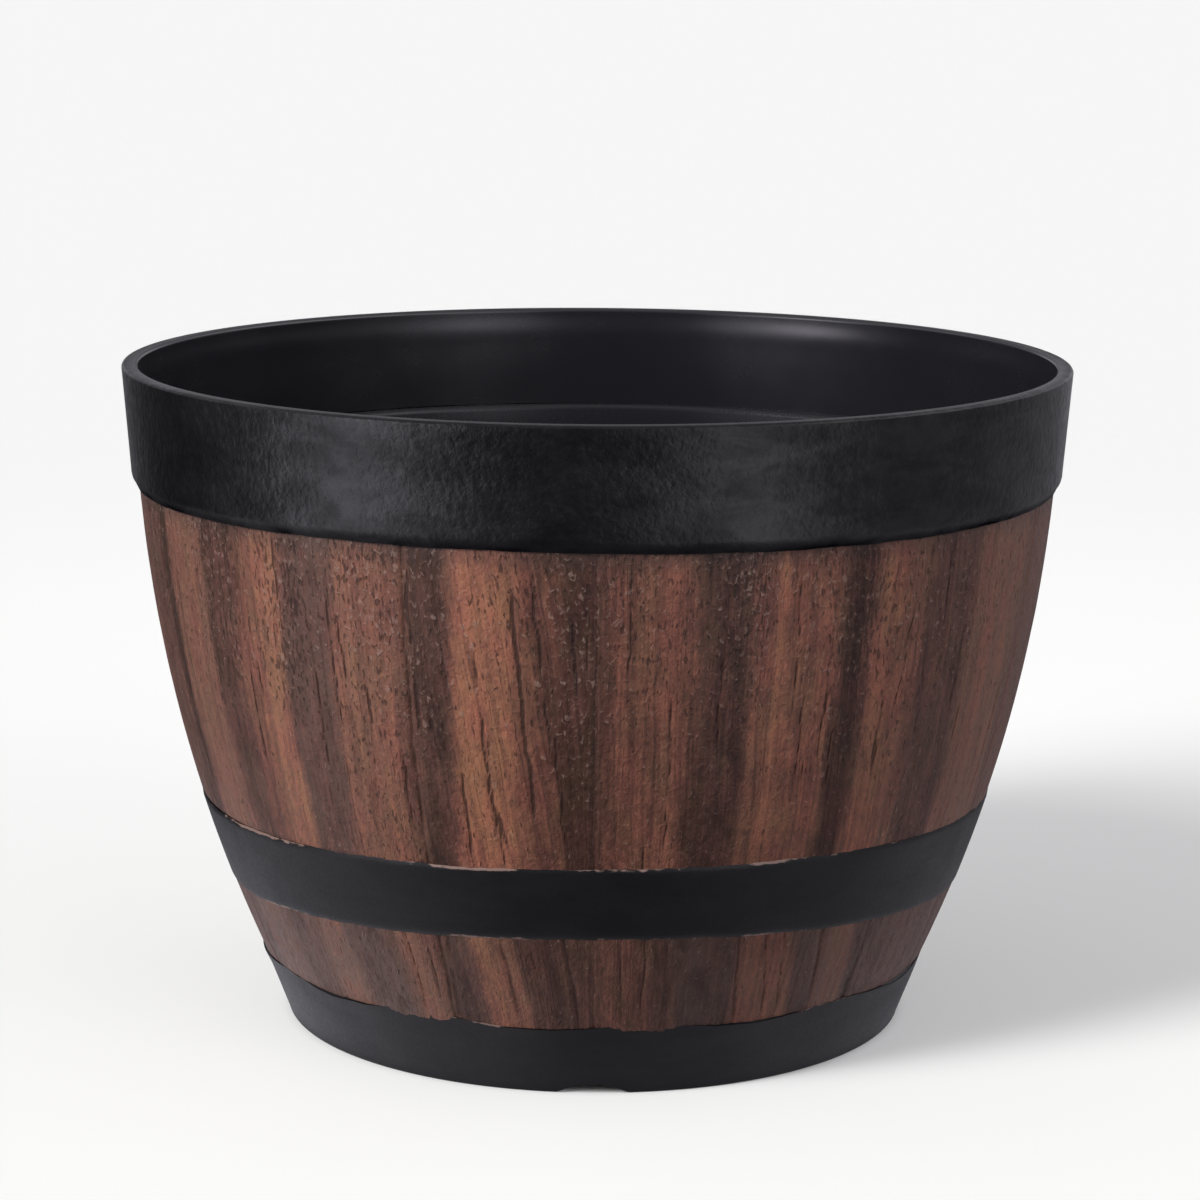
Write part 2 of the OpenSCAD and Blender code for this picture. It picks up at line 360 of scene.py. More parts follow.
class Graph:
    """A material's node tree, with short calls for the nodes that the finishes here use."""

    def __init__(self, name: str) -> None:
        """Starts a material with an empty tree.

        Args:
            name: The material's name.
        """
        self.material = bpy.data.materials.new(name)
        self.material.use_nodes = True
        self.tree = self.material.node_tree
        self.tree.nodes.clear()

    def node(self, kind: str, sockets: dict | None = None, **settings: object) -> bpy.types.Node:
        """Adds a node.

        Args:
            kind: The node's type, without the ShaderNode in front.
            sockets: Input sockets by name or number, each with a value or an output to link.
            settings: Properties of the node.

        Returns:
            The new node.
        """
        made = self.tree.nodes.new("ShaderNode" + kind)
        for key, value in settings.items():
            setattr(made, key, value)
        for key, value in (sockets or {}).items():
            if isinstance(value, Socket):
                self.tree.links.new(value, made.inputs[key])
            else:
                made.inputs[key].default_value = value
        return made

    def uv(self, name: str) -> Socket:
        """Returns the output of a UV map, by its name."""
        return self.node("UVMap", uv_map=name).outputs["UV"]

    def place(self) -> Socket:
        """Returns the object's own coordinates."""
        return self.node("TexCoord").outputs["Object"]

    def attribute(self, name: str) -> Socket:
        """Returns the number stored on the vertices under a name."""
        return self.node("Attribute", attribute_name=name).outputs["Fac"]

    def stretch(self, vector: Socket, scale: tuple[float, float, float]) -> Socket:
        """Returns coordinates times a scale, axis by axis."""
        return self.node("Mapping", {"Vector": vector, "Scale": scale}).outputs["Vector"]

    def noise(
        self, vector: Socket, detail: float = 2.0, roughness: float = 0.5, twist: float = 0.0
    ) -> Socket:
        """Returns smooth noise round 0.5 with cells one unit wide; twist draws it out of shape."""
        sockets = {"Scale": 1.0, "Detail": detail, "Roughness": roughness, "Distortion": twist}
        return self.node("TexNoise", {"Vector": vector, **sockets}).outputs["Fac"]

    def math(self, operation: str, a: object, b: object = 0.0, clamp: bool = False) -> Socket:
        """Returns what a Math node's operation makes of two numbers, kept from 0 to 1 with clamp."""
        return self.node("Math", {0: a, 1: b}, operation=operation, use_clamp=clamp).outputs[0]

    def add(self, a: object, b: object) -> Socket:
        """Returns the sum of two numbers."""
        return self.math("ADD", a, b)

    def less(self, a: object, b: object) -> Socket:
        """Returns the first number less the second."""
        return self.math("SUBTRACT", a, b)

    def times(self, a: object, b: object) -> Socket:
        """Returns the product of two numbers."""
        return self.math("MULTIPLY", a, b)

    def most(self, a: object, b: object) -> Socket:
        """Returns the larger of two numbers."""
        return self.math("MAXIMUM", a, b)

    def sway(self, pattern: Socket, strength: float) -> Socket:
        """Returns a pattern's distance from its middle of 0.5, times a strength."""
        return self.times(self.less(pattern, 0.5), strength)

    def span(
        self, value: object, low: float, high: float, to_low: float = 0.0, to_high: float = 1.0
    ) -> Socket:
        """Returns value mapped smoothly: low becomes to_low and high becomes to_high, flat outside."""
        sockets = {"Value": value, "From Min": low, "From Max": high, "To Min": to_low, "To Max": to_high}
        return self.node("MapRange", sockets, interpolation_type="SMOOTHSTEP").outputs["Result"]

    def mix(self, factor: object, a: object, b: object, blend: str = "MIX") -> Socket:
        """Mixes two colours.

        Args:
            factor: Share of the second colour.
            a: First colour or output.
            b: Second colour or output.
            blend: How they mix.

        Returns:
            The mixed colour.
        """
        made = self.node("Mix", {"Factor": factor}, data_type="RGBA", blend_type=blend)
        for number, value in ((6, a), (7, b)):
            if isinstance(value, Socket):
                self.tree.links.new(value, made.inputs[number])
            else:
                made.inputs[number].default_value = (*value, 1.0)
        return made.outputs[2]

    def ramp(self, factor: Socket, stops: tuple, ease: str = "LINEAR") -> Socket:
        """Turns a number into a colour.

        Args:
            factor: The number, from 0 to 1.
            stops: Pairs of place and colour, in rising order.
            ease: How colours blend from stop to stop.

        Returns:
            The colour.
        """
        made = self.node("ValToRGB", {"Fac": factor})
        made.color_ramp.interpolation = ease
        stored = made.color_ramp.elements
        while len(stored) < len(stops):
            stored.new(0.5)
        for element, (place, colour) in zip(stored, stops):
            element.position = place
            element.color = (*colour, 1.0)
        return made.outputs["Color"]

    def bump(self, height: Socket, depth: float) -> Socket:
        """Returns the normal tilted by a pattern of heights, where 1 stands for depth metres."""
        return self.node("Bump", {"Height": height, "Distance": depth, "Strength": 1.0}).outputs["Normal"]

    def finish(self, sockets: dict) -> bpy.types.Material:
        """Ends the tree in a Principled shader.

        Args:
            sockets: The shader's inputs by name.

        Returns:
            The material.
        """
        shader = self.node("BsdfPrincipled", sockets)
        self.node("OutputMaterial", {"Surface": shader.outputs["BSDF"]})
        return self.material


@dataclass(frozen=True)
class Pattern:
    """Smooth noise on one of a piece's maps.

    Attributes:
        cells: Cells in each metre along the map's two axes; the first axis runs across the grain.
        detail: Extra layers.
        roughness: Strength of each layer against the one before.
        twist: How far the pattern is drawn out of shape.
        strength: How far it moves the print's tone.
    """

    cells: tuple[float, float]
    detail: float
    roughness: float = 0.5
    twist: float = 0.0
    strength: float = 0.0

    def on(self, graph: Graph, uv: Socket) -> Socket:
        """Returns the pattern's noise in a graph, on a map."""
        return graph.noise(graph.stretch(uv, (*self.cells, 1.0)), self.detail, self.roughness, self.twist)


@dataclass(frozen=True)
class WoodPrint:
    """Wood grain that is moulded and printed on resin: stripes, fibres, pores and veins, with light flecks on
    the relief's tops that are painted glints.

    Attributes:
        tones: Colour of the print by tone.
        grey: Colour that the greyer stripes turn to.
        dark: Colour down in cracks, pores and grooves.
        painted_glint: Colour of the light flecks on the tops of the relief: painted glints, where the tops
            would catch the light.
        ruddy: Tint of the redder patches.
        olive: Tint of the browner patches.
        streaks: Long soft streaks along the grain.
        fibres: Fibres along the grain.
        hairs: The finest fibres.
        slits: Short slits that open as pores.
        veins: Widely spaced lines along the grain.
        clouds: Lighter and darker clouds.
        mottles: Small mottling, which also breaks up cracks and grooves.
        bumps: The moulded relief; its pattern also lightens the print on the relief's tops and darkens it in
            the dips, as painted light and shade.
        tinges: Where the print is redder or browner.
        relief_depth: Depth of the relief in the bump, in metres.
        roughness: Least and most roughness.
        shine: The film's specular level.
    """

    tones: tuple = (
        (0.0, (0.0230, 0.0100, 0.0074)),
        (0.2, (0.0480, 0.0206, 0.0148)),
        (0.42, (0.0865, 0.0383, 0.0282)),
        (0.62, (0.1380, 0.0592, 0.0408)),
        (0.8, (0.2000, 0.0842, 0.0548)),
        (1.0, (0.2840, 0.1205, 0.0705)),
    )
    grey: tuple = (0.112, 0.070, 0.057)
    dark: tuple = (0.026, 0.0130, 0.0100)
    painted_glint: tuple = (0.250, 0.170, 0.140)
    ruddy: tuple = (1.06, 0.95, 0.97)
    olive: tuple = (0.96, 1.03, 0.93)
    streaks: Pattern = Pattern((230.0, 9.0), 3.0, 0.55, strength=0.70)
    fibres: Pattern = Pattern((900.0, 16.0), 3.0, 0.6, strength=0.56)
    hairs: Pattern = Pattern((2300.0, 45.0), 2.0, strength=0.24)
    slits: Pattern = Pattern((800.0, 240.0), 1.5, 0.5, 0.4)
    veins: Pattern = Pattern((130.0, 4.0), 1.0)
    clouds: Pattern = Pattern((150.0, 62.0), 4.0, 0.6, 0.4, 0.62)
    mottles: Pattern = Pattern((430.0, 230.0), 3.0, 0.6, 0.5, 0.50)
    bumps: Pattern = Pattern((600.0, 400.0), 2.0, 0.5, 0.7, 0.30)
    tinges: Pattern = Pattern((95.0, 34.0), 3.0, 0.6)
    relief_depth: float = 0.8 * MM
    roughness: tuple[float, float] = (0.42, 0.60)
    shine: float = 0.32

    def material(self) -> bpy.types.Material:
        """Builds the finish from the maps wrap and grain, and from what the vertices store."""
        graph = Graph("wood_print")
        grain = graph.uv("grain")
        wrap = graph.uv("wrap")
        streak, fibre, hair = (one.on(graph, grain) for one in (self.streaks, self.fibres, self.hairs))
        cloud, mottle, relief = (one.on(graph, wrap) for one in (self.clouds, self.mottles, self.bumps))
        tone = graph.attribute("tone")
        shown = (
            (streak, self.streaks), (fibre, self.fibres), (hair, self.hairs),
            (cloud, self.clouds), (mottle, self.mottles), (relief, self.bumps),
        )
        for noise, pattern in shown:
            tone = graph.add(tone, graph.sway(noise, pattern.strength))
        tint = graph.mix(graph.span(self.tinges.on(graph, wrap), 0.35, 0.65), self.ruddy, self.olive)
        colour = graph.mix(1.0, graph.ramp(tone, self.tones), tint, "MULTIPLY")
        # Greyness, broken up by clouds: the print's greyer stripes, and on the sides painted sheen.
        grey_clouds = graph.span(cloud, 0.3, 0.65, 0.45, 1.0)
        grey = graph.math("MULTIPLY", graph.attribute("grey"), grey_clouds, clamp=True)
        colour = graph.mix(grey, colour, self.grey)
        dark = self.hollows(graph, grain, mottle)
        colour = graph.mix(dark, colour, self.dark)
        # Painted glints: light flecks where the relief is highest, thickest in the listed patches.
        painted_glint = graph.add(relief, graph.times(graph.attribute("painted_glint"), 0.11))
        painted_glint = graph.times(graph.span(painted_glint, 0.65, 0.78, 0.0, 0.50), graph.less(1.0, dark))
        colour = graph.mix(painted_glint, colour, self.painted_glint)
        height = graph.add(graph.times(fibre, 0.30), graph.times(relief, 0.75))
        height = graph.add(height, graph.times(painted_glint, 0.25))
        height = graph.less(height, graph.times(dark, 0.55))
        return graph.finish({
            "Base Color": colour,
            "Roughness": graph.span(mottle, 0.25, 0.75, *self.roughness),
            "Normal": graph.bump(height, self.relief_depth),
            "Specular IOR Level": self.shine,
        })

    def hollows(self, graph: Graph, grain: Socket, mottle: Socket) -> Socket:
        """Says how deep the print lies in a crack, pore, vein or groove.

        Args:
            graph: The tree to add to.
            grain: The map along the grain.
            mottle: The mottling, which breaks the cracks and grooves up.

        Returns:
            Numbers from 0 to about 0.8.
        """
        split = graph.add(graph.attribute("crack"), graph.sway(mottle, 0.9))
        split = graph.span(split, 0.25, 0.80, 0.0, 0.80)
        pore = graph.add(self.slits.on(graph, grain), graph.times(graph.attribute("pore"), 0.16))
        pore = graph.span(pore, 0.68, 0.78, 0.0, 0.66)
        off_line = graph.math("ABSOLUTE", graph.less(self.veins.on(graph, grain), 0.5))
        vein = graph.times(graph.span(off_line, 0.030, 0.004), graph.span(mottle, 0.40, 0.6, 0.0, 0.38))
        groove = graph.add(graph.attribute("groove"), graph.sway(mottle, 0.5))
        groove = graph.span(groove, 0.15, 0.95, 0.0, 0.72)
        return graph.most(graph.most(split, pore), graph.most(vein, groove))


@dataclass(frozen=True)
class BlackResin:
    """Black moulded resin with a cast skin: a fine pebble, faint flow and dusty patches.

    Attributes:
        name: The material's name.
        pebble: Depth of the pebble, in metres.
        pebble_size: Width of one grain of the pebble, in metres.
        roughness: Least and most roughness.
        dust: Strength of the dusty patches.
        base: Colour of the resin.
        mottle: How far the shine rises and falls in patches.
        pale: Colour of the dusty patches.
        calm_black_painted_light: Colour where the skin is calm: the smooth black, lifted as painted light on
            the collar's inside.
        bare_print_and_glint: Colour of the wood print that shows where the black misses an edge, lightened as
            a painted highlight on the edge's shoulder.
        patch_cells: Cells of the dusty patches in each metre.
        ragged_cells: Cells of the missed edge's ragged line in each metre.
        drift_cells: Cells of the shine's patches in each metre.
        calm_sheen: What the calm skin gains in shine and loses in roughness.
        matte_dull: What the matte skin loses in shine and gains in roughness.
    """

    name: str
    pebble: float
    pebble_size: float
    roughness: tuple[float, float]
    dust: float = 0.3
    base: tuple = (0.0038, 0.0038, 0.0045)
    mottle: float = 0.03
    pale: tuple = (0.0088, 0.0088, 0.0102)
    calm_black_painted_light: tuple = (0.0118, 0.0114, 0.0140)
    bare_print_and_glint: tuple = (0.205, 0.135, 0.112)
    patch_cells: tuple = (26.0, 26.0, 40.0)
    ragged_cells: tuple = (170.0, 170.0, 420.0)
    drift_cells: tuple = (38.0, 38.0, 105.0)
    calm_sheen: tuple[float, float] = (0.50, 0.10)
    matte_dull: tuple[float, float] = (0.40, 0.25)

    def material(self) -> bpy.types.Material:
        """Builds the finish in the object's own coordinates, with the stored calm, matte and miss."""
        graph = Graph(self.name)
        place = graph.place()
        calm = graph.attribute("calm")
        matte = graph.attribute("matte")
        lively = graph.less(1.0, calm)
        cells = 1.0 / self.pebble_size
        grain = graph.noise(graph.stretch(place, (cells, cells, cells)), 3.0, 0.6)
        coarse = graph.noise(graph.stretch(place, (cells * 0.33, cells * 0.33, cells * 0.33)), 2.0)
        patches = graph.noise(graph.stretch(place, self.patch_cells), 4.0, 0.6)
        colour = graph.mix(graph.span(patches, 0.42, 0.72, 0.0, self.dust), self.base, self.pale)
        colour = graph.mix(graph.span(grain, 0.55, 0.8, 0.0, self.dust), colour, self.pale)
        # On the calm skin, the collar's inside, the black is lifted as painted light.
        colour = graph.mix(calm, colour, self.calm_black_painted_light)
        # Where the black misses an edge the print shows, in a colour lightened as a painted highlight on the
        # edge's shoulder.
        ragged = graph.noise(graph.stretch(place, self.ragged_cells), 3.0, 0.6)
        bare_and_glint = graph.add(graph.attribute("bare_and_glint"), graph.less(ragged, 0.5))
        colour = graph.mix(graph.span(bare_and_glint, 0.62, 0.78), colour, self.bare_print_and_glint)
        grainy = graph.times(graph.span(grain, 0.3, 0.7, -0.04, 0.04), lively)
        rough = graph.add(graph.span(patches, 0.3, 0.7, *self.roughness), grainy)
        rough = graph.less(rough, graph.times(calm, self.calm_sheen[1]))
        rough = graph.add(rough, graph.times(matte, self.matte_dull[1]))
        drift = graph.noise(graph.stretch(place, self.drift_cells), 3.0, 0.55, 0.6)
        shine = graph.times(graph.span(drift, 0.32, 0.68, -self.mottle, self.mottle), lively)
        sheen = graph.less(graph.times(calm, self.calm_sheen[0]), graph.times(matte, self.matte_dull[0]))
        shine = graph.math("ADD", 0.5, graph.add(shine, sheen), clamp=True)
        bumps = graph.times(graph.add(grain, graph.times(coarse, 0.7)), lively)
        return graph.finish({
            "Base Color": colour,
            "Roughness": rough,
            "Normal": graph.bump(bumps, self.pebble),
            "Specular IOR Level": shine,
        })


@dataclass(frozen=True)
class Stripe:
    """A printed stripe of the staves.

    Attributes:
        start: Azimuth in degrees where it starts; it runs to the next stripe.
        tone: From dark 0 to orange 1.
        grey: Its greyness.
    """

    start: float
    tone: float
    grey: float


@dataclass(frozen=True)
class Crack:
    """A moulded crack of the staves.

    Attributes:
        azimuth: Azimuth of its top in degrees.
        top: Height share of its top, from 0 at the collar to 1 at the hoop.
        length: Its length, as a share of the same height.
        lean: How far it leans on its way down, in degrees of azimuth.
        width: Its width in mm.
    """

    azimuth: float
    top: float
    length: float
    lean: float
    width: float = 0.9


# The grey column rises towards both sides: partly the print's own greyer stripes, partly painted sheen where
# the staves turn to the sides.
FRONT_STRIPES = tuple(Stripe(*row) for row in (
    (-92.0, 0.34, 0.5), (-84.0, 0.50, 0.4), (-75.0, 0.42, 0.4), (-67.0, 0.20, 0.2), (-64.5, 0.80, 0.5),
    (-54.5, 0.34, 0.2), (-48.5, 0.60, 0.1), (-44.8, 0.90, 0.2), (-40.0, 0.42, 0.4), (-32.5, 0.75, 0.2),
    (-26.5, 0.74, 0.1), (-24.8, 0.58, 0.1), (-22.6, 0.38, 0.1), (-20.8, 0.24, 0.1), (-17.6, 0.86, 0.0),
    (-13.6, 0.90, 0.0), (-10.2, 0.68, 0.0), (-7.4, 0.46, 0.0), (-3.8, 0.19, 0.1), (0.6, 0.56, 0.0),
    (5.0, 0.62, 0.0), (9.0, 0.74, 0.0), (10.4, 0.52, 0.0), (12.4, 0.19, 0.1), (17.8, 0.54, 0.0),
    (21.0, 0.90, 0.0), (22.6, 0.66, 0.0), (27.0, 0.66, 0.0), (30.0, 0.23, 0.0), (34.2, 0.80, 0.1),
    (39.0, 0.68, 0.2), (43.2, 0.38, 0.3), (51.5, 0.80, 0.5), (57.5, 0.94, 0.7), (65.0, 0.68, 0.7),
    (70.0, 0.72, 0.7), (78.0, 0.44, 0.5), (84.0, 0.62, 0.4),
))

# As in front, the grey rises at both sides: the print's own greyer stripes and painted sheen.
LOW_STRIPES = tuple(Stripe(*row) for row in (
    (-92.0, 0.40, 0.6), (-84.0, 0.50, 0.5), (-75.0, 0.50, 0.7), (-69.0, 0.36, 0.7), (-63.2, 0.74, 0.9),
    (-53.4, 0.38, 0.7), (-51.0, 0.27, 0.6), (-47.5, 0.58, 0.7), (-45.0, 0.88, 0.8), (-39.2, 0.18, 0.7),
    (-31.4, 0.62, 0.5), (-29.4, 0.82, 0.35), (-25.6, 0.54, 0.2), (-22.4, 0.20, 0.2),
    (-19.8, 0.28, 0.3), (-17.4, 0.76, 0.1), (-13.9, 0.56, 0.1), (-12.6, 0.80, 0.2), (-10.8, 0.27, 0.1),
    (-6.0, 0.30, 0.1), (-3.0, 0.36, 0.1), (0.4, 0.54, 0.0), (3.4, 0.46, 0.0), (5.0, 0.46, 0.0),
    (7.6, 0.33, 0.1), (12.0, 0.10, 0.4), (17.4, 0.20, 0.3), (21.4, 0.66, 0.1), (24.0, 0.66, 0.0),
    (27.0, 0.62, 0.1), (29.2, 0.70, 0.1), (31.6, 0.20, 0.4), (35.6, 0.64, 0.6), (38.4, 0.76, 0.5),
    (43.0, 0.13, 0.5), (46.0, 0.38, 0.7), (53.0, 0.52, 0.7), (63.0, 0.52, 0.8), (70.0, 0.46, 0.6),
    (78.0, 0.44, 0.6), (84.0, 0.56, 0.5),
))

LOW_CRACKS = tuple(Crack(*row) for row in (
    (-21.3, 1.18, 0.42, -0.4, 2.6), (-10.2, 1.16, 0.46, 4.4, 1.7), (-4.6, 1.16, 0.46, 3.0, 1.8),
    (-13.2, 1.22, 0.34, 1.6, 1.8), (-28.4, 1.20, 0.40, 1.6, 1.1), (-25.2, 1.16, 0.34, 0.9, 1.0),
    (3.8, 1.16, 0.42, 0.6, 1.0), (7.2, 1.16, 0.42, 0.4, 0.9), (10.4, 1.22, 0.36, 1.2, 1.6),
    (20.6, 1.16, 0.44, 2.6, 1.8), (24.8, 1.16, 0.44, 3.4, 1.1), (27.8, 1.16, 0.40, 2.8, 1.0),
    (34.6, 1.16, 0.46, 2.8, 1.8), (42.6, 1.16, 0.46, 3.0, 3.0),
))

FRONT_CRACKS = tuple(Crack(*row) for row in (
    (-14.6, 0.26, 0.74, 3.6, 1.2), (-13.9, 0.46, 0.50, 2.2, 0.9), (-10.0, 0.02, 0.92, 2.9, 1.3),
    (-7.4, 0.02, 0.68, 2.5, 0.9), (-16.6, 0.66, 0.34, 0.8, 0.9), (-2.9, 0.14, 0.30, 0.6),
    (-4.8, 0.50, 0.46, 1.2, 0.7), (-22.2, -0.02, 0.66, 1.0, 1.3), (-20.3, 0.45, 0.13, 0.3, 1.5),
    (-28.3, 0.42, 0.16, 0.5, 0.8), (-31.4, 0.20, 0.26, 0.4, 0.7), (-24.4, 0.62, 0.30, 0.8, 0.7),
    (9.2, 0.20, 0.80, -0.4, 0.7), (3.8, 0.0, 0.42, 0.2, 0.6), (23.8, 0.0, 0.50, 0.4, 0.7),
    (25.6, 0.42, 0.42, -0.5, 0.5), (28.9, 0.34, 0.40, -0.8, 0.5), (37.6, 0.22, 0.60, -0.6, 0.5),
    (40.4, 0.18, 0.40, -1.0, 0.5), (42.8, 0.0, 0.40, -0.5, 1.2), (-65.8, 0.0, 1.0, 0.5, 1.2),
    (-47.4, 0.3, 0.5, 0.6, 0.5),
))


@dataclass(frozen=True)
class Patch:
    """A patch where pores or the relief's painted glints crowd, or where the print shows through the black
    with a painted highlight.

    Attributes:
        azimuth: Azimuth of its middle in degrees.
        half_width: Half its width in degrees.
        strength: How much it adds at its middle.
        low: Height share of its lower end.
    """

    azimuth: float
    half_width: float
    strength: float
    low: float = 0.0


# Patches where the relief's painted glints crowd.
FRONT_PAINTED_GLINTS = tuple(Patch(*row) for row in (
    (-36.0, 7.0, 0.50, 0.45), (-25.0, 5.0, 0.35, 0.55), (-3.0, 3.0, 0.30, 0.75),
    (4.0, 4.0, 0.25, 0.35), (18.0, 2.5, 0.60, 0.40), (27.5, 3.0, 0.25, 0.50), (38.0, 5.0, 0.15, 0.30),
    (-53.0, 5.0, 0.30, 0.45),
))

FRONT_PORES = tuple(Patch(*row) for row in (
    (-40.0, 4.0, 0.55, 0.60), (-27.5, 5.0, 0.45, 0.95), (-11.0, 5.0, 0.25, 1.0),
    (17.5, 3.0, 0.55, 0.50), (31.0, 4.0, 0.30, 0.60), (3.0, 4.0, 0.15, 0.70), (-52.0, 5.0, 0.30, 0.70),
))


@dataclass(frozen=True)
class StaveFigure:
    """The wood figure round the shell, by azimuth in degrees and by height share.

    The height share runs from 0 at the collar to 1 at the hoop, and past 1 below the hoop.

    Attributes:
        front: Stripes of the front.
        front_cracks: Cracks of the front.
        stave_count: Staves round the shell.
        reference_r: Radius at which metres across the grain are counted.
        seed: Which of the random figures to use.
        table_step: Degrees between entries of the table of stripes.
        edge_blur: Softness of the stripes' edges, in degrees.
        shear: How far stripes lean in degrees for each height share.
        shear_share: Height share at which the lean moves nothing.
        crack_count: Small cracks all round.
        seam_strengths: How deep and dark each seam is, from the front one round.
        tones: Tones that the stripes at the back are picked from.
        widths: Their widths in degrees.
        crack_lengths: Lengths that the small cracks are picked from, as height shares.
        crack_half: Half width of a crack's bell, as a share of its width.
        crack_wander: How far in degrees a crack strays from its line.
        lean_spread: How far in degrees the fibres' lean differs from stave to stave.
        front_leans: The lean in the staves left and right of the front seam, in degrees.
        edge_ripples: How the stripes' edges wander, in degrees.
        fibre_ripple: How the fibres wander, in degrees.
        stave_offset: Metres across the grain from one stave's fibres to the next one's.
        noise_period: Cells after which a line's own noise repeats, past any use here.
    """

    front: tuple[Stripe, ...] = FRONT_STRIPES
    front_cracks: tuple[Crack, ...] = FRONT_CRACKS
    stave_count: int = 16
    reference_r: float = 0.165
    seed: int = 41
    table_step: float = 0.1
    edge_blur: float = 0.6
    shear: float = 0.0
    shear_share: float = 1.4
    crack_count: int = 54
    seam_strengths: tuple = (
        0.65, 0.30, 0.45, 0.60, 0.75, 0.55, 0.80, 0.60, 0.85, 0.60, 0.70, 0.50, 0.75, 0.80, 0.35, 1.0,
    )
    tones: tuple = (0.16, 0.28, 0.36, 0.46, 0.52, 0.56, 0.60, 0.66, 0.78, 0.94)
    widths: tuple = (1.6, 2.6, 3.6, 4.6, 5.8, 7.6, 9.5)
    crack_lengths: tuple = (0.10, 0.16, 0.24, 0.36, 0.5)
    crack_half: float = 0.62
    crack_wander: float = 0.35
    lean_spread: float = 2.6
    front_leans: tuple[float, float] = (5.0, 0.2)
    edge_ripples: tuple[Ripple, ...] = (
        Ripple(12.0, 2.2, 44, 1.15), Ripple(2.0, 9.0, 50, 0.50), Ripple(0.7, 26.0, 56, 0.45),
    )
    fibre_ripple: Ripple = Ripple(6.0, 3.5, 62, 0.5)
    stave_offset: float = 0.37
    noise_period: int = 4096

    def stripes(self) -> list[Stripe]:
        """Returns the front's stripes, followed by seeded ones of like widths and tones round the back."""
        chance = np.random.default_rng(self.seed)
        made = list(self.front)
        start = 90.0
        last = -1.0
        while start < 360.0 + self.front[0].start - 2.0:
            tone = float(chance.choice(self.tones))
            while abs(tone - last) < 0.12:
                tone = float(chance.choice(self.tones))
            last = tone
            made.append(Stripe(start, tone, float(chance.uniform(0.0, 0.45)) * (1.0 - tone * 0.6)))
            start += float(chance.choice(self.widths))
        return made

    def table(self, pick: str) -> tuple[np.ndarray, np.ndarray]:
        """Lays one property of the stripes out round the shell, with blurred edges.

        Args:
            pick: The property's name in Stripe.

        Returns:
            Azimuths in degrees and the property there.
        """
        azimuth = np.arange(-92.0, 268.0, self.table_step)
        stripes = self.stripes()
        starts = np.array([stripe.start for stripe in stripes])
        values = np.array([getattr(stripe, pick) for stripe in stripes])
        held = values[np.clip(np.searchsorted(starts, azimuth, side="right") - 1, 0, len(values) - 1)]
        reach = int(3 * self.edge_blur / self.table_step)
        weights = np.exp(-0.5 * (np.arange(-reach, reach + 1) * self.table_step / self.edge_blur) ** 2)
        wrapped = np.concatenate([held[-reach:], held, held[:reach]])
        return azimuth, np.convolve(wrapped, weights / weights.sum(), "valid")

    def warped(self, azimuth: np.ndarray, share: np.ndarray) -> np.ndarray:
        """Bends azimuths so that stripes wander and change width on their way down.

        The ripples are added and the lean is taken off, both held back near the seams.

        Args:
            azimuth: Azimuths in degrees.
            share: Height shares.

        Returns:
            The azimuths whose stripes show there.
        """
        hold = smooth_step(self.seam_distance(azimuth), 0.0, 3.0)
        lean = self.shear * (share - self.shear_share)
        ripples = sum(ripple.at(azimuth, share) for ripple in self.edge_ripples)
        return azimuth - hold * lean + hold * ripples

    def seam_distance(self, azimuth: np.ndarray) -> np.ndarray:
        """Returns degrees from each azimuth to the nearest seam between staves."""
        pitch = 360.0 / self.stave_count
        return np.abs((azimuth + pitch / 2.0) % pitch - pitch / 2.0)

    def tone(self, azimuth: np.ndarray, share: np.ndarray, pick: str = "tone") -> np.ndarray:
        """Returns the stripes' tone, or what else pick names, at azimuths in degrees and height shares."""
        places, values = self.table(pick)
        return np.interp(self.warped(azimuth, share), places, values, period=360.0)

    def lean(self, azimuth: np.ndarray) -> np.ndarray:
        """Gives each stave its own lean of the fibres on their way down, none at its seams.

        Args:
            azimuth: Azimuths in degrees.

        Returns:
            Leans in degrees.
        """
        pitch = 360.0 / self.stave_count
        index = np.floor(azimuth / pitch).astype(np.int64) % self.stave_count
        each = (hashed(index, index * 0, self.seed) - 0.5) * self.lean_spread
        each = np.where(index == self.stave_count - 1, self.front_leans[0], each)
        each = np.where(index == 0, self.front_leans[1], each)
        return each * smooth_step(self.seam_distance(azimuth), 0.0, 4.0)

    def grain(self, azimuth: np.ndarray, share: np.ndarray) -> np.ndarray:
        """Gives metres across the grain, so that lines of equal value are fibres.

        They are the azimuth, less the stave's lean, with a wave added, times the reference radius.

        Args:
            azimuth: Azimuths in degrees, which may run past a full turn.
            share: Height shares.

        Returns:
            Metres across the grain at the reference radius.
        """
        folded = azimuth % 360.0
        drift = self.lean(folded) * (share - 0.5)
        wave = self.fibre_ripple.at(folded, share)
        pitch = 360.0 / self.stave_count
        offset = np.floor(azimuth / pitch + 1e-6) * self.stave_offset
        return np.radians(azimuth - drift + wave) * self.reference_r + offset

    def cracks(self) -> list[Crack]:
        """Returns the front's cracks, and seeded ones all round."""
        chance = np.random.default_rng(self.seed + 5)
        made = list(self.front_cracks)
        for _ in range(self.crack_count):
            azimuth = float(chance.uniform(-90.0, 270.0))
            lean = float(self.lean(np.array([azimuth % 360.0]))[0])
            length = float(chance.choice(self.crack_lengths))
            top = float(chance.uniform(-0.1, 0.95))
            made.append(Crack(azimuth, top, length, lean * length, float(chance.uniform(0.4, 0.8))))
        return made

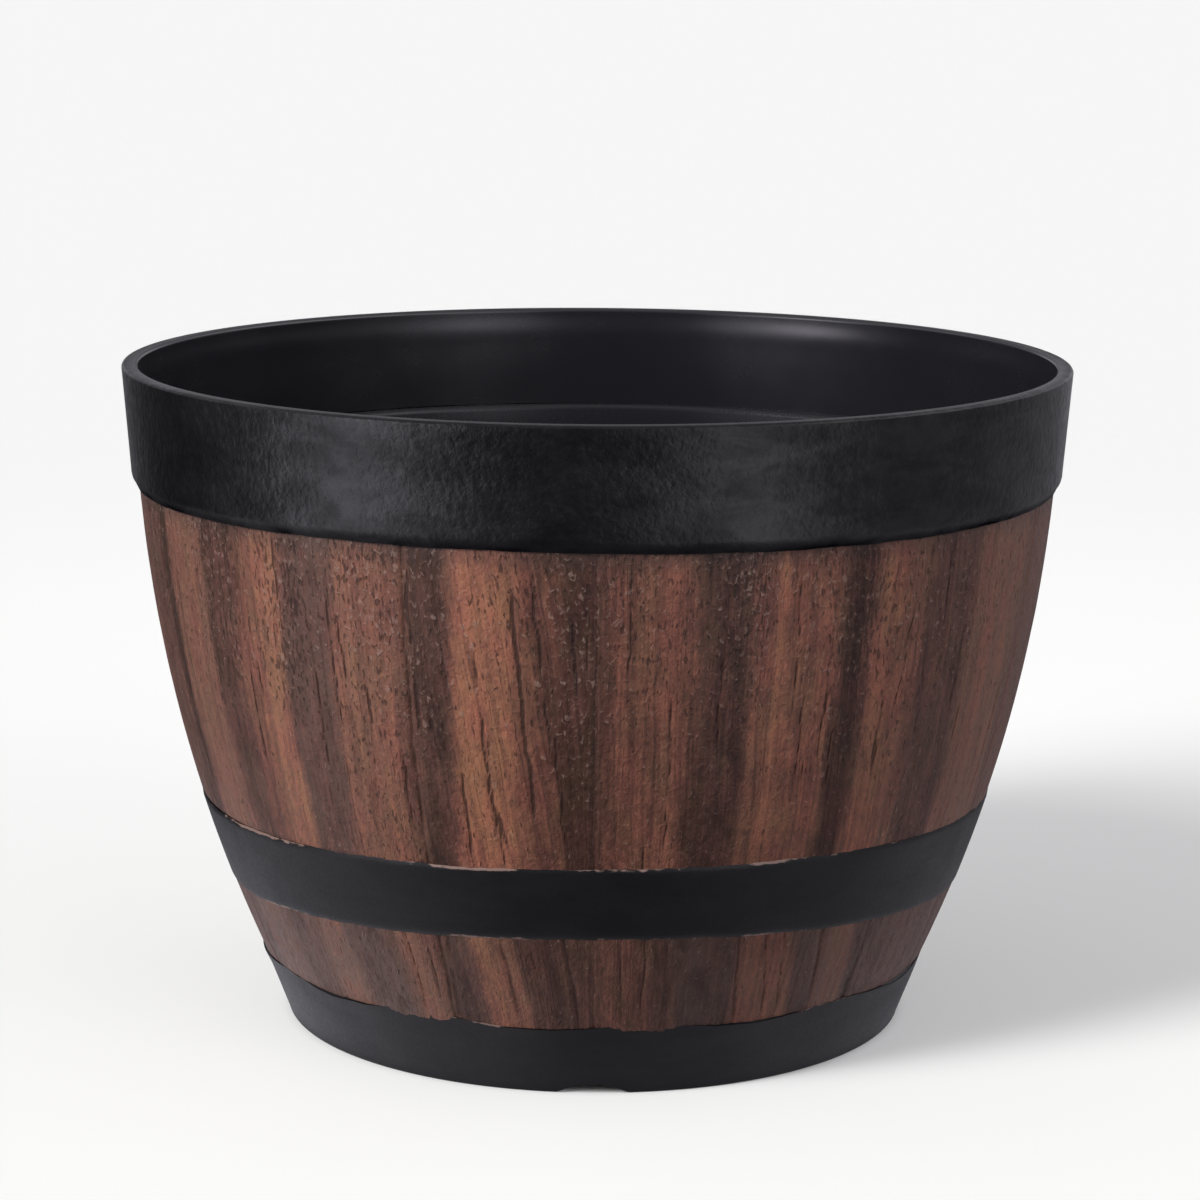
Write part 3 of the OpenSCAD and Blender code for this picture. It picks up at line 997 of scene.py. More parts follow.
    def crack(self, azimuth: np.ndarray, share: np.ndarray) -> np.ndarray:
        """Draws each crack as a bell across its own wandering line, faded at both ends and broken on its way.

        Args:
            azimuth: Azimuths in degrees, one for each column.
            share: Height shares, one for each row, as a column.

        Returns:
            Depth of cracks from 0 to 1, for each row and column.
        """
        depth = np.zeros((share.shape[0], azimuth.shape[0]))
        degree = math.radians(1.0) * self.reference_r
        for number, one in enumerate(self.cracks()):
            along = (share - one.top) / one.length
            wander = self.crack_wander * self.line_noise(share * 11.0 + number * 7.3, number)
            away = turned_away(azimuth, one.azimuth + one.lean * along + wander)
            bell = np.exp(-((away * degree / (self.crack_half * one.width * MM)) ** 2))
            ends = smooth_step(along, 0.0, 0.15) * smooth_step(along, 1.0, 0.8)
            gaps = self.line_noise(share * 9.0 + number * 3.1, 300 + number)
            depth = np.maximum(depth, bell * ends * smooth_step(gaps, -0.75, -0.1))
        return depth

    def line_noise(self, cells: np.ndarray, seed: int) -> np.ndarray:
        """Returns noise along a crack's line, from its height in cells."""
        return layered_noise(cells, cells * 0.0, self.seed + seed, self.noise_period)

    @staticmethod
    def patches(
        azimuth: np.ndarray, share: np.ndarray, spots: tuple[Patch, ...], seed: int
    ) -> np.ndarray:
        """Adds up soft-edged patches over a cloudy ground.

        Args:
            azimuth: Azimuths in degrees.
            share: Height shares.
            spots: The patches.
            seed: Which cloud pattern to use.

        Returns:
            Strength from 0 to about 1.
        """
        clouds = layered_noise(azimuth / 9.0, share * 3.0, seed, 40)
        total = 0.42 + 0.45 * clouds - 0.35 * smooth_step(share, 0.25, 0.95)
        for spot in spots:
            away = np.abs(turned_away(azimuth, spot.azimuth))
            reach = smooth_step(away, spot.half_width * 1.3, spot.half_width * 0.5)
            total = total + spot.strength * reach * smooth_step(share, spot.low + 0.12, spot.low - 0.12)
        return np.clip(total, 0.0, 1.3)

    def seam_strength(self, azimuth: np.ndarray) -> np.ndarray:
        """Returns how deep and dark the nearest seam is, from 0 to 1."""
        pitch = 360.0 / self.stave_count
        return np.array(self.seam_strengths)[np.round(azimuth / pitch).astype(np.int64) % self.stave_count]


@dataclass
class StaveSkin:
    """One visible band of the staves, as a closed ring whose outer face carries the moulded grain.

    Attributes:
        name: The piece's name.
        low_z: Height of the band's lower end.
        high_z: Height of the band's upper end.
        rows: Steps up the band.
        line: The staves' line.
        figure: The wood figure.
        figure_top: Height at which the figure's share is 0.
        figure_low: Height at which it is 1.
        columns: Steps round the band.
        tuck: How far each end lies under its neighbour.
        back_inset: How far the back lies inside the staves' line.
        back_rows: Steps down the back.
        groove_depth: Depth of the deepest seam.
        groove_half: Half the width of a seam.
        crack_depth: Depth of a crack.
        contrast: Share of the stripes' contrast that the band keeps.
        haze: Grey added evenly over the band.
        crack_share: How dark the cracks are, from 0 to 1.
        seam_wander: How far in degrees the seams stray from straight.
        seam_depth: A seam's mean depth, and how far it rises and falls along the seam.
        ridge: Height of the ridges along the grain.
        ridge_pitch: Width of one ridge.
        crown: How far a stave's middle stands out over its edges.
        middle_tone: The tone that the contrast leaves as it is.
        end_step: How far below a groove's bottom the hidden ends lie.
        top_dark: What the print under the collar's edge loses in tone and gains in greyness.
        top_ripple: How that dark edge wanders, in height shares.
    """

    name: str
    low_z: float
    high_z: float
    rows: int
    line: StaveLine
    figure: StaveFigure
    figure_top: float
    figure_low: float
    columns: int = 1536
    tuck: float = 4.0 * MM
    back_inset: float = 1.6 * MM
    back_rows: int = 3
    groove_depth: float = 0.9 * MM
    groove_half: float = 0.75 * MM
    crack_depth: float = 0.55 * MM
    contrast: float = 1.0
    haze: float = 0.0
    crack_share: float = 1.0
    seam_wander: float = 0.30
    seam_depth: tuple[float, float] = (0.72, 0.42)
    ridge: float = 0.16 * MM
    ridge_pitch: float = 3.2 * MM
    crown: float = 0.25 * MM
    middle_tone: float = 0.45
    end_step: float = 0.2 * MM
    top_dark: tuple[float, float] = (0.22, 0.25)
    top_ripple: Ripple = Ripple(1.5, 0.0, 55, 0.012)

    def build(self, finish: bpy.types.Material) -> bpy.types.Object:
        """Makes the band: its outer face in relief, and its back as a plain arc inside the wall.

        The relief is a crown on each stave and ridges along the grain, less a bell-shaped groove at each seam
        and the cracks. It fades out where the ends lie under their neighbours.

        Args:
            finish: The wood print.

        Returns:
            The new piece.
        """
        z = np.linspace(self.low_z - self.tuck, self.high_z + self.tuck, self.rows + 1)[:, None]
        share = (self.figure_top - z) / (self.figure_top - self.figure_low)
        azimuth = np.degrees(np.arange(self.columns) * FULL_TURN / self.columns)
        wide = np.broadcast_to(azimuth, (self.rows + 1, self.columns))
        tall = np.broadcast_to(share, wide.shape)
        open_air = smooth_step(z, self.low_z - self.tuck, self.low_z - 0.6 * self.tuck)
        open_air = open_air * smooth_step(z, self.high_z + self.tuck, self.high_z + 0.6 * self.tuck)
        stave = np.round(wide / (360.0 / self.figure.stave_count))
        period = self.figure.noise_period
        wander = self.seam_wander * layered_noise(stave * 5.3, tall * 10.0, 61, period)
        seam = self.figure.seam_distance(wide + wander) * math.radians(1.0) * self.line.radius(z)
        broken = self.seam_depth[0] + self.seam_depth[1] * layered_noise(stave * 3.1, tall * 16.0, 67, period)
        groove = np.exp(-((seam / self.groove_half) ** 2)) * self.figure.seam_strength(wide)
        groove = groove * np.clip(broken, 0.25, 1.0)
        crack = self.figure.crack(azimuth, share)
        grain = self.figure.grain(wide, tall)
        ridges = layered_noise(grain / self.ridge_pitch, tall * 5.0, 77, 1 << 20)
        pitch = 360.0 / self.figure.stave_count
        arch = 1.0 - (2.0 * self.figure.seam_distance(wide) / pitch - 1.0) ** 2
        relief = self.crown * (arch - 1.0) + self.ridge * (ridges - 0.6)
        relief = relief - self.groove_depth * groove - self.crack_depth * crack
        sunk = self.groove_depth + self.end_step
        outer = self.line.radius(z) + open_air * relief - (1.0 - open_air) * sunk
        ones = np.ones((1, self.columns))
        back = self.line.run(self.high_z + self.tuck, self.low_z - self.tuck, self.back_inset, self.back_rows)
        surface = Turned(
            np.concatenate([outer, back[:, :1] * ones]),
            np.concatenate([z * ones, back[:, 1:] * ones]),
        )
        made = surface.build(self.name, self.figure.reference_r)
        column = surface.loop_cells[:, 1] * 360.0 / self.columns
        row = np.minimum(surface.loop_cells[:, 0] % len(surface.r), self.rows)
        middle = np.where(column >= 359.9999, 360.0, column)
        across = self.grain_at_corners(surface, middle, share[row, 0])
        surface.put_uv(made, "grain", np.stack([across, z[row, 0]], axis=1))
        top_shade = smooth_step(tall + self.top_ripple.at(wide, tall), 0.065, 0.0)
        tone = self.middle_tone + self.contrast * (self.figure.tone(wide, tall) - self.middle_tone)
        grey = self.figure.tone(wide, tall, "grey") + self.haze
        tops = {
            "tone": tone - self.top_dark[0] * top_shade,
            "grey": grey + self.top_dark[1] * top_shade,
            "crack": crack * self.crack_share,
            "groove": groove * open_air,
            "pore": self.figure.patches(wide, tall, FRONT_PORES, 93),
            "painted_glint": self.figure.patches(wide, tall, FRONT_PAINTED_GLINTS, 91),
        }
        for label, values in tops.items():
            spare = np.repeat(values[-1:], len(back), axis=0)
            surface.put_attribute(made, label, np.concatenate([values, spare]))
        made.data.materials.append(finish)
        return made

    def grain_at_corners(self, surface: Turned, azimuth: np.ndarray, share: np.ndarray) -> np.ndarray:
        """Gives each face corner its metres across the grain, each side of a seam on its own stave.

        Args:
            surface: The band's surface, whose corners come in fours.
            azimuth: Azimuth of each corner in degrees.
            share: Height share of each corner.

        Returns:
            Metres across the grain.
        """
        faces = azimuth.reshape(-1, 4)
        pitch = 360.0 / self.figure.stave_count
        stave = np.repeat(np.floor(faces.mean(axis=1) / pitch), 4)
        inside = np.clip(azimuth, stave * pitch + 1e-4, (stave + 1.0) * pitch - 1e-4)
        return self.figure.grain(inside, share)


@dataclass
class Shell:
    """The moulded shell: two bands of wood-grain staves over a black wall, floor and ribs.

    Attributes:
        line: The staves' line.
        ledge_z: Height of the shell's top edge, the ledge inside the collar.
        low_z: Height of its lower edge.
        skirt_z: Height of the collar's lower edge.
        hoop_z: Heights of the hoop's edges.
        foot_z: Height of the foot ring's top.
        wall: The wall's thickness.
        floor_z: Height of the floor's underside.
        floor_t: The floor's thickness.
        fillet: Radius between the floor and the wall.
        ledge_round: Radius of the ledge's inner edge.
        skin: How far the black wall lies inside the staves' line.
        foot_seat: Depth of the foot ring's seat.
        drain_circle: Diameter of the circle that the drain holes stand on.
        cutter_h: Height of what cuts them.
        rib_low_z: Height of the ribs' lower edges.
        rib_ring_r: Radius of the ring that they run in to.
        rib_slope: How far their sides draw in on their way down.
        rib_sink: How far they reach up into the floor and out into the wall.
        columns: Steps round the wall.
    """

    line: StaveLine
    ledge_z: float
    low_z: float
    skirt_z: float
    hoop_z: tuple[float, float]
    foot_z: float
    wall: float = 4.6 * MM
    floor_z: float = 9.0 * MM
    floor_t: float = 4.0 * MM
    fillet: float = 8.0 * MM
    ledge_round: float = 2.6 * MM
    skin: float = 1.7 * MM
    foot_seat: float = 1.4 * MM
    drain_d: float = 16.0 * MM
    drain_circle: float = 150.0 * MM
    drain_count: int = 4
    cutter_h: float = 40.0 * MM
    rib_count: int = 8
    rib_t: float = 2.4 * MM
    rib_low_z: float = 5.6 * MM
    rib_ring_r: float = 30.0 * MM
    rib_slope: float = 0.35 * MM
    rib_sink: float = 0.5 * MM
    columns: int = 512

    def build(self, wood: bpy.types.Material, inside: bpy.types.Material) -> list[bpy.types.Object]:
        """Makes the shell's pieces.

        Args:
            wood: Finish of the staves.
            inside: Finish of the wall, the floor and the ribs, whose black is lifted as painted light.

        Returns:
            The staves' two bands, the wall with its floor, and the ribs.
        """
        shared = {"line": self.line, "figure_top": self.skirt_z, "figure_low": self.hoop_z[1]}
        upper = StaveSkin(
            "upper_staves", self.hoop_z[1], self.skirt_z, rows=60, figure=StaveFigure(), **shared
        )
        lower = StaveSkin(
            "lower_staves", self.foot_z, self.hoop_z[0], rows=26,
            figure=StaveFigure(LOW_STRIPES, LOW_CRACKS, shear=8.0),
            contrast=1.05, haze=0.12, crack_share=0.62, seam_wander=0.5, **shared
        )
        pieces = [upper.build(wood), lower.build(wood), self.build_wall(), self.build_ribs()]
        for piece in pieces[2:]:
            piece.data.materials.append(inside)
        for piece in pieces:
            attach(piece, BODY)
            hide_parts("barrel_shell")
        return pieces

    def profile(self) -> np.ndarray:
        """Returns the wall and floor in section: out under the floor, up the outside and back down inside."""
        floor_top = self.floor_z + self.floor_t
        rim_r = float(self.line.radius(self.low_z, self.foot_seat)) - self.wall
        centre_r, centre_z = self.line.centre()
        fillet_z = floor_top + self.fillet
        fillet_r = float(self.line.radius(fillet_z, self.wall + self.fillet))
        angle = math.degrees(math.atan2(fillet_z - centre_z, fillet_r - centre_r))
        wall_z = fillet_z + self.fillet * math.sin(math.radians(angle))
        ledge_r = float(self.line.radius(self.ledge_z, self.wall)) + self.ledge_round
        outer = self.line.run(self.low_z, self.ledge_z, self.skin, 24)
        turn = 1.0 * MM
        return np.concatenate([
            straight((0.0, self.floor_z), (rim_r - turn, self.floor_z), 10),
            corner((rim_r - turn, self.floor_z - turn), turn, 90.0, 0.0, 4)[1:],
            [[rim_r, self.low_z]],
            outer,
            corner((ledge_r, self.ledge_z - self.ledge_round), self.ledge_round, 90.0, 180.0, 8),
            self.line.run(self.ledge_z - 2.0 * self.ledge_round, wall_z, self.wall, 40),
            corner((fillet_r, fillet_z), self.fillet, angle, -90.0, 10)[1:],
            straight((fillet_r, floor_top), (0.0, floor_top), 10)[1:],
        ])

    def build_wall(self) -> bpy.types.Object:
        """Makes the black wall and floor, and cuts the drain holes."""
        made = Turned.from_profile(self.profile(), self.columns, loop=False).build("inner_wall")
        for number in range(self.drain_count):
            azimuth = number * FULL_TURN / self.drain_count
            x = self.drain_circle / 2.0 * math.cos(azimuth)
            y = self.drain_circle / 2.0 * math.sin(azimuth)
            bpy.ops.mesh.primitive_cylinder_add(
                vertices=64, radius=self.drain_d / 2.0, depth=self.cutter_h, location=(x, y, self.floor_z)
            )
            cutter = bpy.context.object
            cut = made.modifiers.new("drain", "BOOLEAN")
            cut.operation = "DIFFERENCE"
            cut.object = cutter
            cut.solver = "EXACT"
            holed = made.evaluated_get(bpy.context.evaluated_depsgraph_get())
            settled = bpy.data.meshes.new_from_object(holed)
            made.modifiers.clear()
            made.data = settled
            bpy.data.objects.remove(cutter)
        made.data.name = made.name
        made.data.set_sharp_from_angle(angle=math.radians(50.0))
        return made

    def build_ribs(self) -> bpy.types.Object:
        """Makes the ribs under the floor as one mesh: closed boxes that run in to a closed ring."""
        top_z = self.floor_z + self.rib_sink
        half = self.rib_t / 2.0
        rim_r = float(self.line.radius(self.low_z, self.foot_seat)) - self.wall + self.rib_sink
        low = self.rib_low_z
        slope = self.rib_slope
        ring = np.array([
            [self.rib_ring_r - half, top_z], [self.rib_ring_r - half + slope, low],
            [self.rib_ring_r + half - slope, low], [self.rib_ring_r + half, top_z],
        ])
        turned = Turned.from_profile(ring, 128)
        numbers, _ = turned.quads(0, 4)
        points = [turned.places()]
        faces = [numbers]
        corners = np.array([
            [radius, side * (half - slope * (z == low)), z]
            for radius in (self.rib_ring_r, rim_r) for side in (-1, 1) for z in (low, top_z)
        ])
        box = np.array([[0, 1, 3, 2], [4, 6, 7, 5], [0, 4, 5, 1], [2, 3, 7, 6], [0, 2, 6, 4], [1, 5, 7, 3]])
        for number in range(self.rib_count):
            turn = (number + 0.5) * FULL_TURN / self.rib_count
            cos, sin = math.cos(turn), math.sin(turn)
            spin = np.array([[cos, -sin, 0], [sin, cos, 0], [0, 0, 1]])
            faces.append(box + sum(len(group) for group in points))
            points.append(corners @ spin.T)
        made = new_mesh_object("floor_ribs", np.concatenate(points), [np.concatenate(faces)])
        made.data.set_sharp_from_angle(angle=math.radians(30.0))
        return made


@dataclass(frozen=True)
class PaintLine:
    """How an edge of the black paint wanders: a few slow waves round the axis and a little noise.

    Attributes:
        waves: For each wave its count round the axis, its height in mm and its crest's azimuth in degrees.
        noise: Height of the noise.
        seed: Which of the noise patterns to use.
        cells: Cells of the noise round the axis.
    """

    waves: tuple[tuple[float, float, float], ...]
    noise: float
    seed: int
    cells: int = 90

    def offset(self, azimuth: np.ndarray) -> np.ndarray:
        """Adds noise to the waves: height times the cosine of count times the way from the crest.

        Args:
            azimuth: Azimuths in radians.

        Returns:
            How far the edge lies above its level, in metres.
        """
        total = np.zeros_like(azimuth)
        for count, height, crest in self.waves:
            total += height * MM * np.cos(count * (azimuth - math.radians(crest)))
        round_it = azimuth / FULL_TURN * self.cells
        return total + self.noise * layered_noise(round_it, azimuth * 0.0, self.seed, self.cells)


def wear_and_glint_share(azimuth: np.ndarray, spots: tuple[Patch, ...]) -> np.ndarray:
    """Says how readily the print shows at each azimuth, through wear and as a painted highlight where the
    edge catches the light: a low ground, with a bell for each spot.

    Args:
        azimuth: Azimuths in radians.
        spots: The spots.

    Returns:
        Shares from 0.6 to 1.
    """
    total = np.zeros_like(azimuth)
    for spot in spots:
        away = turned_away(np.degrees(azimuth), spot.azimuth)
        total = np.maximum(total, spot.strength * np.exp(-((away / spot.half_width) ** 2)))
    return 0.6 + 0.4 * total


@dataclass
class Ring:
    """A black ring on the shell: its section is turned round the axis, and its painted edges wander.

    Attributes:
        name: The piece's name.
        node: The CAD node that it stands for.
        columns: Steps round the axis.
    """

    name: str
    node: str
    columns: int = 768

    def build(self, profile: "RingProfile", finish: bpy.types.Material) -> bpy.types.Object:
        """Makes the ring.

        Args:
            profile: The ring's section and what is stored along it.
            finish: The ring's finish.

        Returns:
            The new piece.
        """
        surface = Turned.from_profile(profile.points, self.columns)
        azimuth = surface.azimuth()
        level = surface.z
        surface.z = surface.z + profile.low_pull[:, None] * profile.low_line.offset(azimuth)
        surface.z = surface.z + profile.high_pull[:, None] * profile.high_line.offset(azimuth)
        if profile.follow is not None:
            surface.r = surface.r + profile.follow.radius(surface.z) - profile.follow.radius(level)
        made = surface.build(self.name)
        ones = np.ones((1, self.columns))
        surface.put_attribute(made, "calm", profile.calm[:, None] * ones)
        surface.put_attribute(made, "matte", profile.matte[:, None] * ones)
        surface.put_attribute(made, "bare_and_glint", profile.bare_and_glint[:, None] * wear_and_glint_share(azimuth, profile.wear_and_glint))
        made.data.set_sharp_from_angle(angle=math.radians(50.0))
        made.data.materials.append(finish)
        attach(made, BODY)
        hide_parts(self.node)
        return made


@dataclass
class RingProfile:
    """A ring's section, with one number stored on each of its points for each of its properties.

    Attributes:
        points: Radius and height, up the outside and down the inside.
        low_line: How the lower edge wanders.
        high_line: How the upper edge wanders.
        low_pull: Share of the lower edge's wander that each point takes.
        high_pull: Share of the upper edge's wander that each point takes.
        calm: 1 where the skin is smooth, 0 where it is pebbled; where it is 1 the black is also lifted as
            painted light.
        bare_and_glint: How readily the print shows through the black, lightened there as a painted highlight
            on the edge.
        matte: 1 where the skin is dull, 0 where it shines.
        wear_and_glint: Where round the ring the print shows most: spots of wear, and spots where the edge
            holds a painted highlight.
        follow: The line that the section slides along where its edges wander.
    """

    points: np.ndarray
    low_line: PaintLine
    high_line: PaintLine
    low_pull: np.ndarray
    high_pull: np.ndarray
    calm: np.ndarray
    bare_and_glint: np.ndarray
    matte: np.ndarray
    wear_and_glint: tuple[Patch, ...] = ()
    follow: StaveLine | None = None


STILL_LINE = PaintLine((), 0.0, 0)

# Spots where the hoop shows the print: the ones in front sit where its edges catch the light and hold a
# painted highlight; the ones round the back are wear.
HOOP_WEAR_AND_GLINT = tuple(Patch(*row) for row in (
    (-16.0, 6.5, 1.0), (-55.0, 8.0, 0.75), (25.0, 4.0, 0.9), (4.0, 6.0, 0.45),
    (110.0, 9.0, 0.8), (190.0, 7.0, 0.9), (245.0, 5.0, 0.7),
))

# Spots where the foot ring shows the print: the ones in front sit where its top edge catches the light and
# hold a painted highlight; the ones round the back are wear.
FOOT_WEAR_AND_GLINT = tuple(Patch(*row) for row in (
    (-46.0, 4.0, 0.7), (-26.0, 3.5, 0.8), (-15.5, 3.5, 1.0), (27.0, 3.0, 0.9),
    (38.5, 4.0, 0.8), (130.0, 8.0, 0.8), (215.0, 6.0, 0.9),
))


@dataclass
class RimCollar:
    """The black collar with the lip, whose skirt laps over the staves.

    Attributes:
        line: The staves' line.
        mouth_r: Radius of the lip's outer edge.
        top_z: Height of the lip's top.
        skirt_z: Height of the collar's lower edge.
        ledge_z: Height of the shell's top edge inside the collar.
        lip_w: Width of the lip.
        draft: How far the collar's face draws in from the lip to the bevel.
        bevel: Height of the skirt's bevel.
        ledge_w: Width of the ledge that stays in view.
        wall: The shell wall's thickness.
        lip_round: Radius of the lip's edges.
        cove_lean: Steepest lean of the cove under the lip, in degrees.
        cove_depth: Depth under the lip's top at which it is.
        cove_reach: How far above and below that the lean fades.
        cove_end: Depth at which the cove ends.
        skirt_gap: Gap between the skirt and the staves.
        edge_round: Radius over the bevel's edge.
        paint: How the lower edge wanders.
    """

    line: StaveLine
    mouth_r: float
    top_z: float
    skirt_z: float
    ledge_z: float
    lip_w: float = 6.4 * MM
    draft: float = 3.2 * MM
    bevel: float = 5.0 * MM
    ledge_w: float = 3.0 * MM
    wall: float = 4.6 * MM
    lip_round: float = 1.2 * MM
    cove_lean: float = 4.8
    cove_depth: float = 6.5 * MM
    cove_reach: float = 4.0 * MM
    cove_end: float = 15.0 * MM
    skirt_gap: float = 0.15 * MM
    edge_round: float = 2.2 * MM
    paint: PaintLine = PaintLine(((2.0, 0.35, 0.0), (3.0, 0.5, -20.0)), 0.30 * MM, 11)

    def profile(self) -> RingProfile:
        """Returns the collar's section: up the outside over the bevel, round the lip, and down inside."""
        bevel_r = self.mouth_r - self.draft
        bevel_z = self.skirt_z + self.bevel
        skirt_in = float(self.line.radius(self.skirt_z, -self.skirt_gap))
        foot_r = skirt_in + 0.5 * MM
        lip_in = self.mouth_r - self.lip_w
        inside_r = float(self.line.radius(self.ledge_z, self.wall)) + self.ledge_w
        turn = self.edge_round
        lip_z = self.top_z - self.lip_round
        raised_z = self.skirt_z + 0.4 * MM
        outside = np.concatenate([
            straight((foot_r, raised_z), (bevel_r - 0.42 * turn, bevel_z - 0.85 * turn), 5),
            [[bevel_r - 0.12 * turn, bevel_z - 0.40 * turn], [bevel_r + 0.01 * turn, bevel_z + 0.15 * turn]],
            straight((bevel_r + 0.07 * turn, bevel_z + turn), (self.mouth_r, lip_z), 14),
            corner((self.mouth_r - self.lip_round, lip_z), self.lip_round, 0.0, 90.0)[1:],
        ])
        cove = self.cove(lip_in)
        inside = np.concatenate([
            corner((lip_in + self.lip_round, lip_z), self.lip_round, 90.0, 180.0),
            cove[1:],
            straight(tuple(cove[-1]), (inside_r, self.ledge_z), 8)[1:],
            [[skirt_in, self.ledge_z], [skirt_in, raised_z]],
        ])
        points = np.concatenate([outside, inside])
        outer = np.arange(len(points)) < len(outside)
        pull = smooth_step(points[:, 1], bevel_z + 6.0 * MM, self.skirt_z)
        # The inside is calm: smooth, and its black lifted as painted light.
        calm = np.where(outer, 0.0, 0.985)
        matte = outer * smooth_step(points[:, 1], bevel_z + 0.5 * MM, self.skirt_z + 0.8 * MM)
        return RingProfile(points, self.paint, STILL_LINE, pull, 0.0 * pull, calm, 0.0 * pull, matte)

    def cove(self, lip_in: float) -> np.ndarray:
        """Returns the inside below the lip, which leans in by a bell over its depth.

        Each step down goes in by the tangent of the lean there.

        Args:
            lip_in: The lip's inner radius.

        Returns:
            An array of radius and height, one row for each point.
        """
        depth = np.linspace(self.lip_round, self.cove_end, 25)
        lean = math.radians(self.cove_lean) * np.exp(-(((depth - self.cove_depth) / self.cove_reach) ** 2))
        slope = np.tan(lean)
        steps = 0.5 * (slope[1:] + slope[:-1]) * np.diff(depth)
        return np.stack([lip_in - np.concatenate([[0.0], np.cumsum(steps)]), self.top_z - depth], axis=1)


@dataclass
class MiddleHoop:
    """The black band round the lower part, which lies in a seat in the staves.

    Attributes:
        line: The staves' line.
        low_z: Height of its lower edge.
        high_z: Height of its upper edge.
        proud: How far it stands out of the staves.
        back_inset: How far its back lies inside the staves' line.
        bevel: Height of each bevel.
        wear_and_glint: Where round the hoop the print shows most: spots of wear, and spots where the edge
            holds a painted highlight.
        low_paint: How the lower edge wanders.
        high_paint: How the upper edge wanders.
    """

    line: StaveLine
    low_z: float
    high_z: float
    proud: float = 0.4 * MM
    back_inset: float = 2.1 * MM
    bevel: float = 2.0 * MM
    wear_and_glint: tuple[Patch, ...] = HOOP_WEAR_AND_GLINT
    low_paint: PaintLine = PaintLine(
        ((0.0, -3.8, 0.0), (2.0, 4.5, 1.0), (3.0, 0.3, 15.0), (7.0, 0.25, 5.0)), 0.45 * MM, 21
    )
    high_paint: PaintLine = PaintLine(
        ((0.0, -0.9, 0.0), (1.0, 0.8, 80.0), (2.0, 0.9, 15.0), (3.0, 0.9, 0.0), (5.0, 0.25, 30.0)),
        0.45 * MM, 22,
    )

    def profile(self) -> RingProfile:
        """Returns the hoop's section, square off the staves' line: up its bevels and face, down its back."""
        low_mid = self.low_z + self.bevel * 0.45
        high_mid = self.high_z - self.bevel * 0.45
        front = np.concatenate([
            [[float(self.line.radius(self.low_z, 0.15 * MM)), self.low_z]],
            self.line.run(low_mid, low_mid, -self.proud * 0.62, 0),
            self.line.run(self.low_z + self.bevel, self.high_z - self.bevel, -self.proud, 14),
            self.line.run(high_mid, high_mid, -self.proud * 0.62, 0),
            [[float(self.line.radius(self.high_z, 0.15 * MM)), self.high_z]],
        ])
        points = np.concatenate([front, self.line.run(self.high_z, self.low_z, self.back_inset, 8)])
        middle = (self.low_z + self.high_z) / 2.0
        low_pull = smooth_step(points[:, 1], middle, self.low_z + self.bevel)
        high_pull = smooth_step(points[:, 1], middle, self.high_z - self.bevel)
        # The print shows at the bevels' outer edges, lightened there as a painted highlight.
        bare_and_glint = np.zeros(len(points))
        bare_and_glint[:2] = (0.88, 0.70)
        bare_and_glint[len(front) - 2:len(front)] = (0.80, 0.98)
        plain = np.zeros(len(points))
        return RingProfile(
            points, self.low_paint, self.high_paint, low_pull, high_pull,
            calm=plain, bare_and_glint=bare_and_glint, matte=plain, wear_and_glint=self.wear_and_glint, follow=self.line
        )


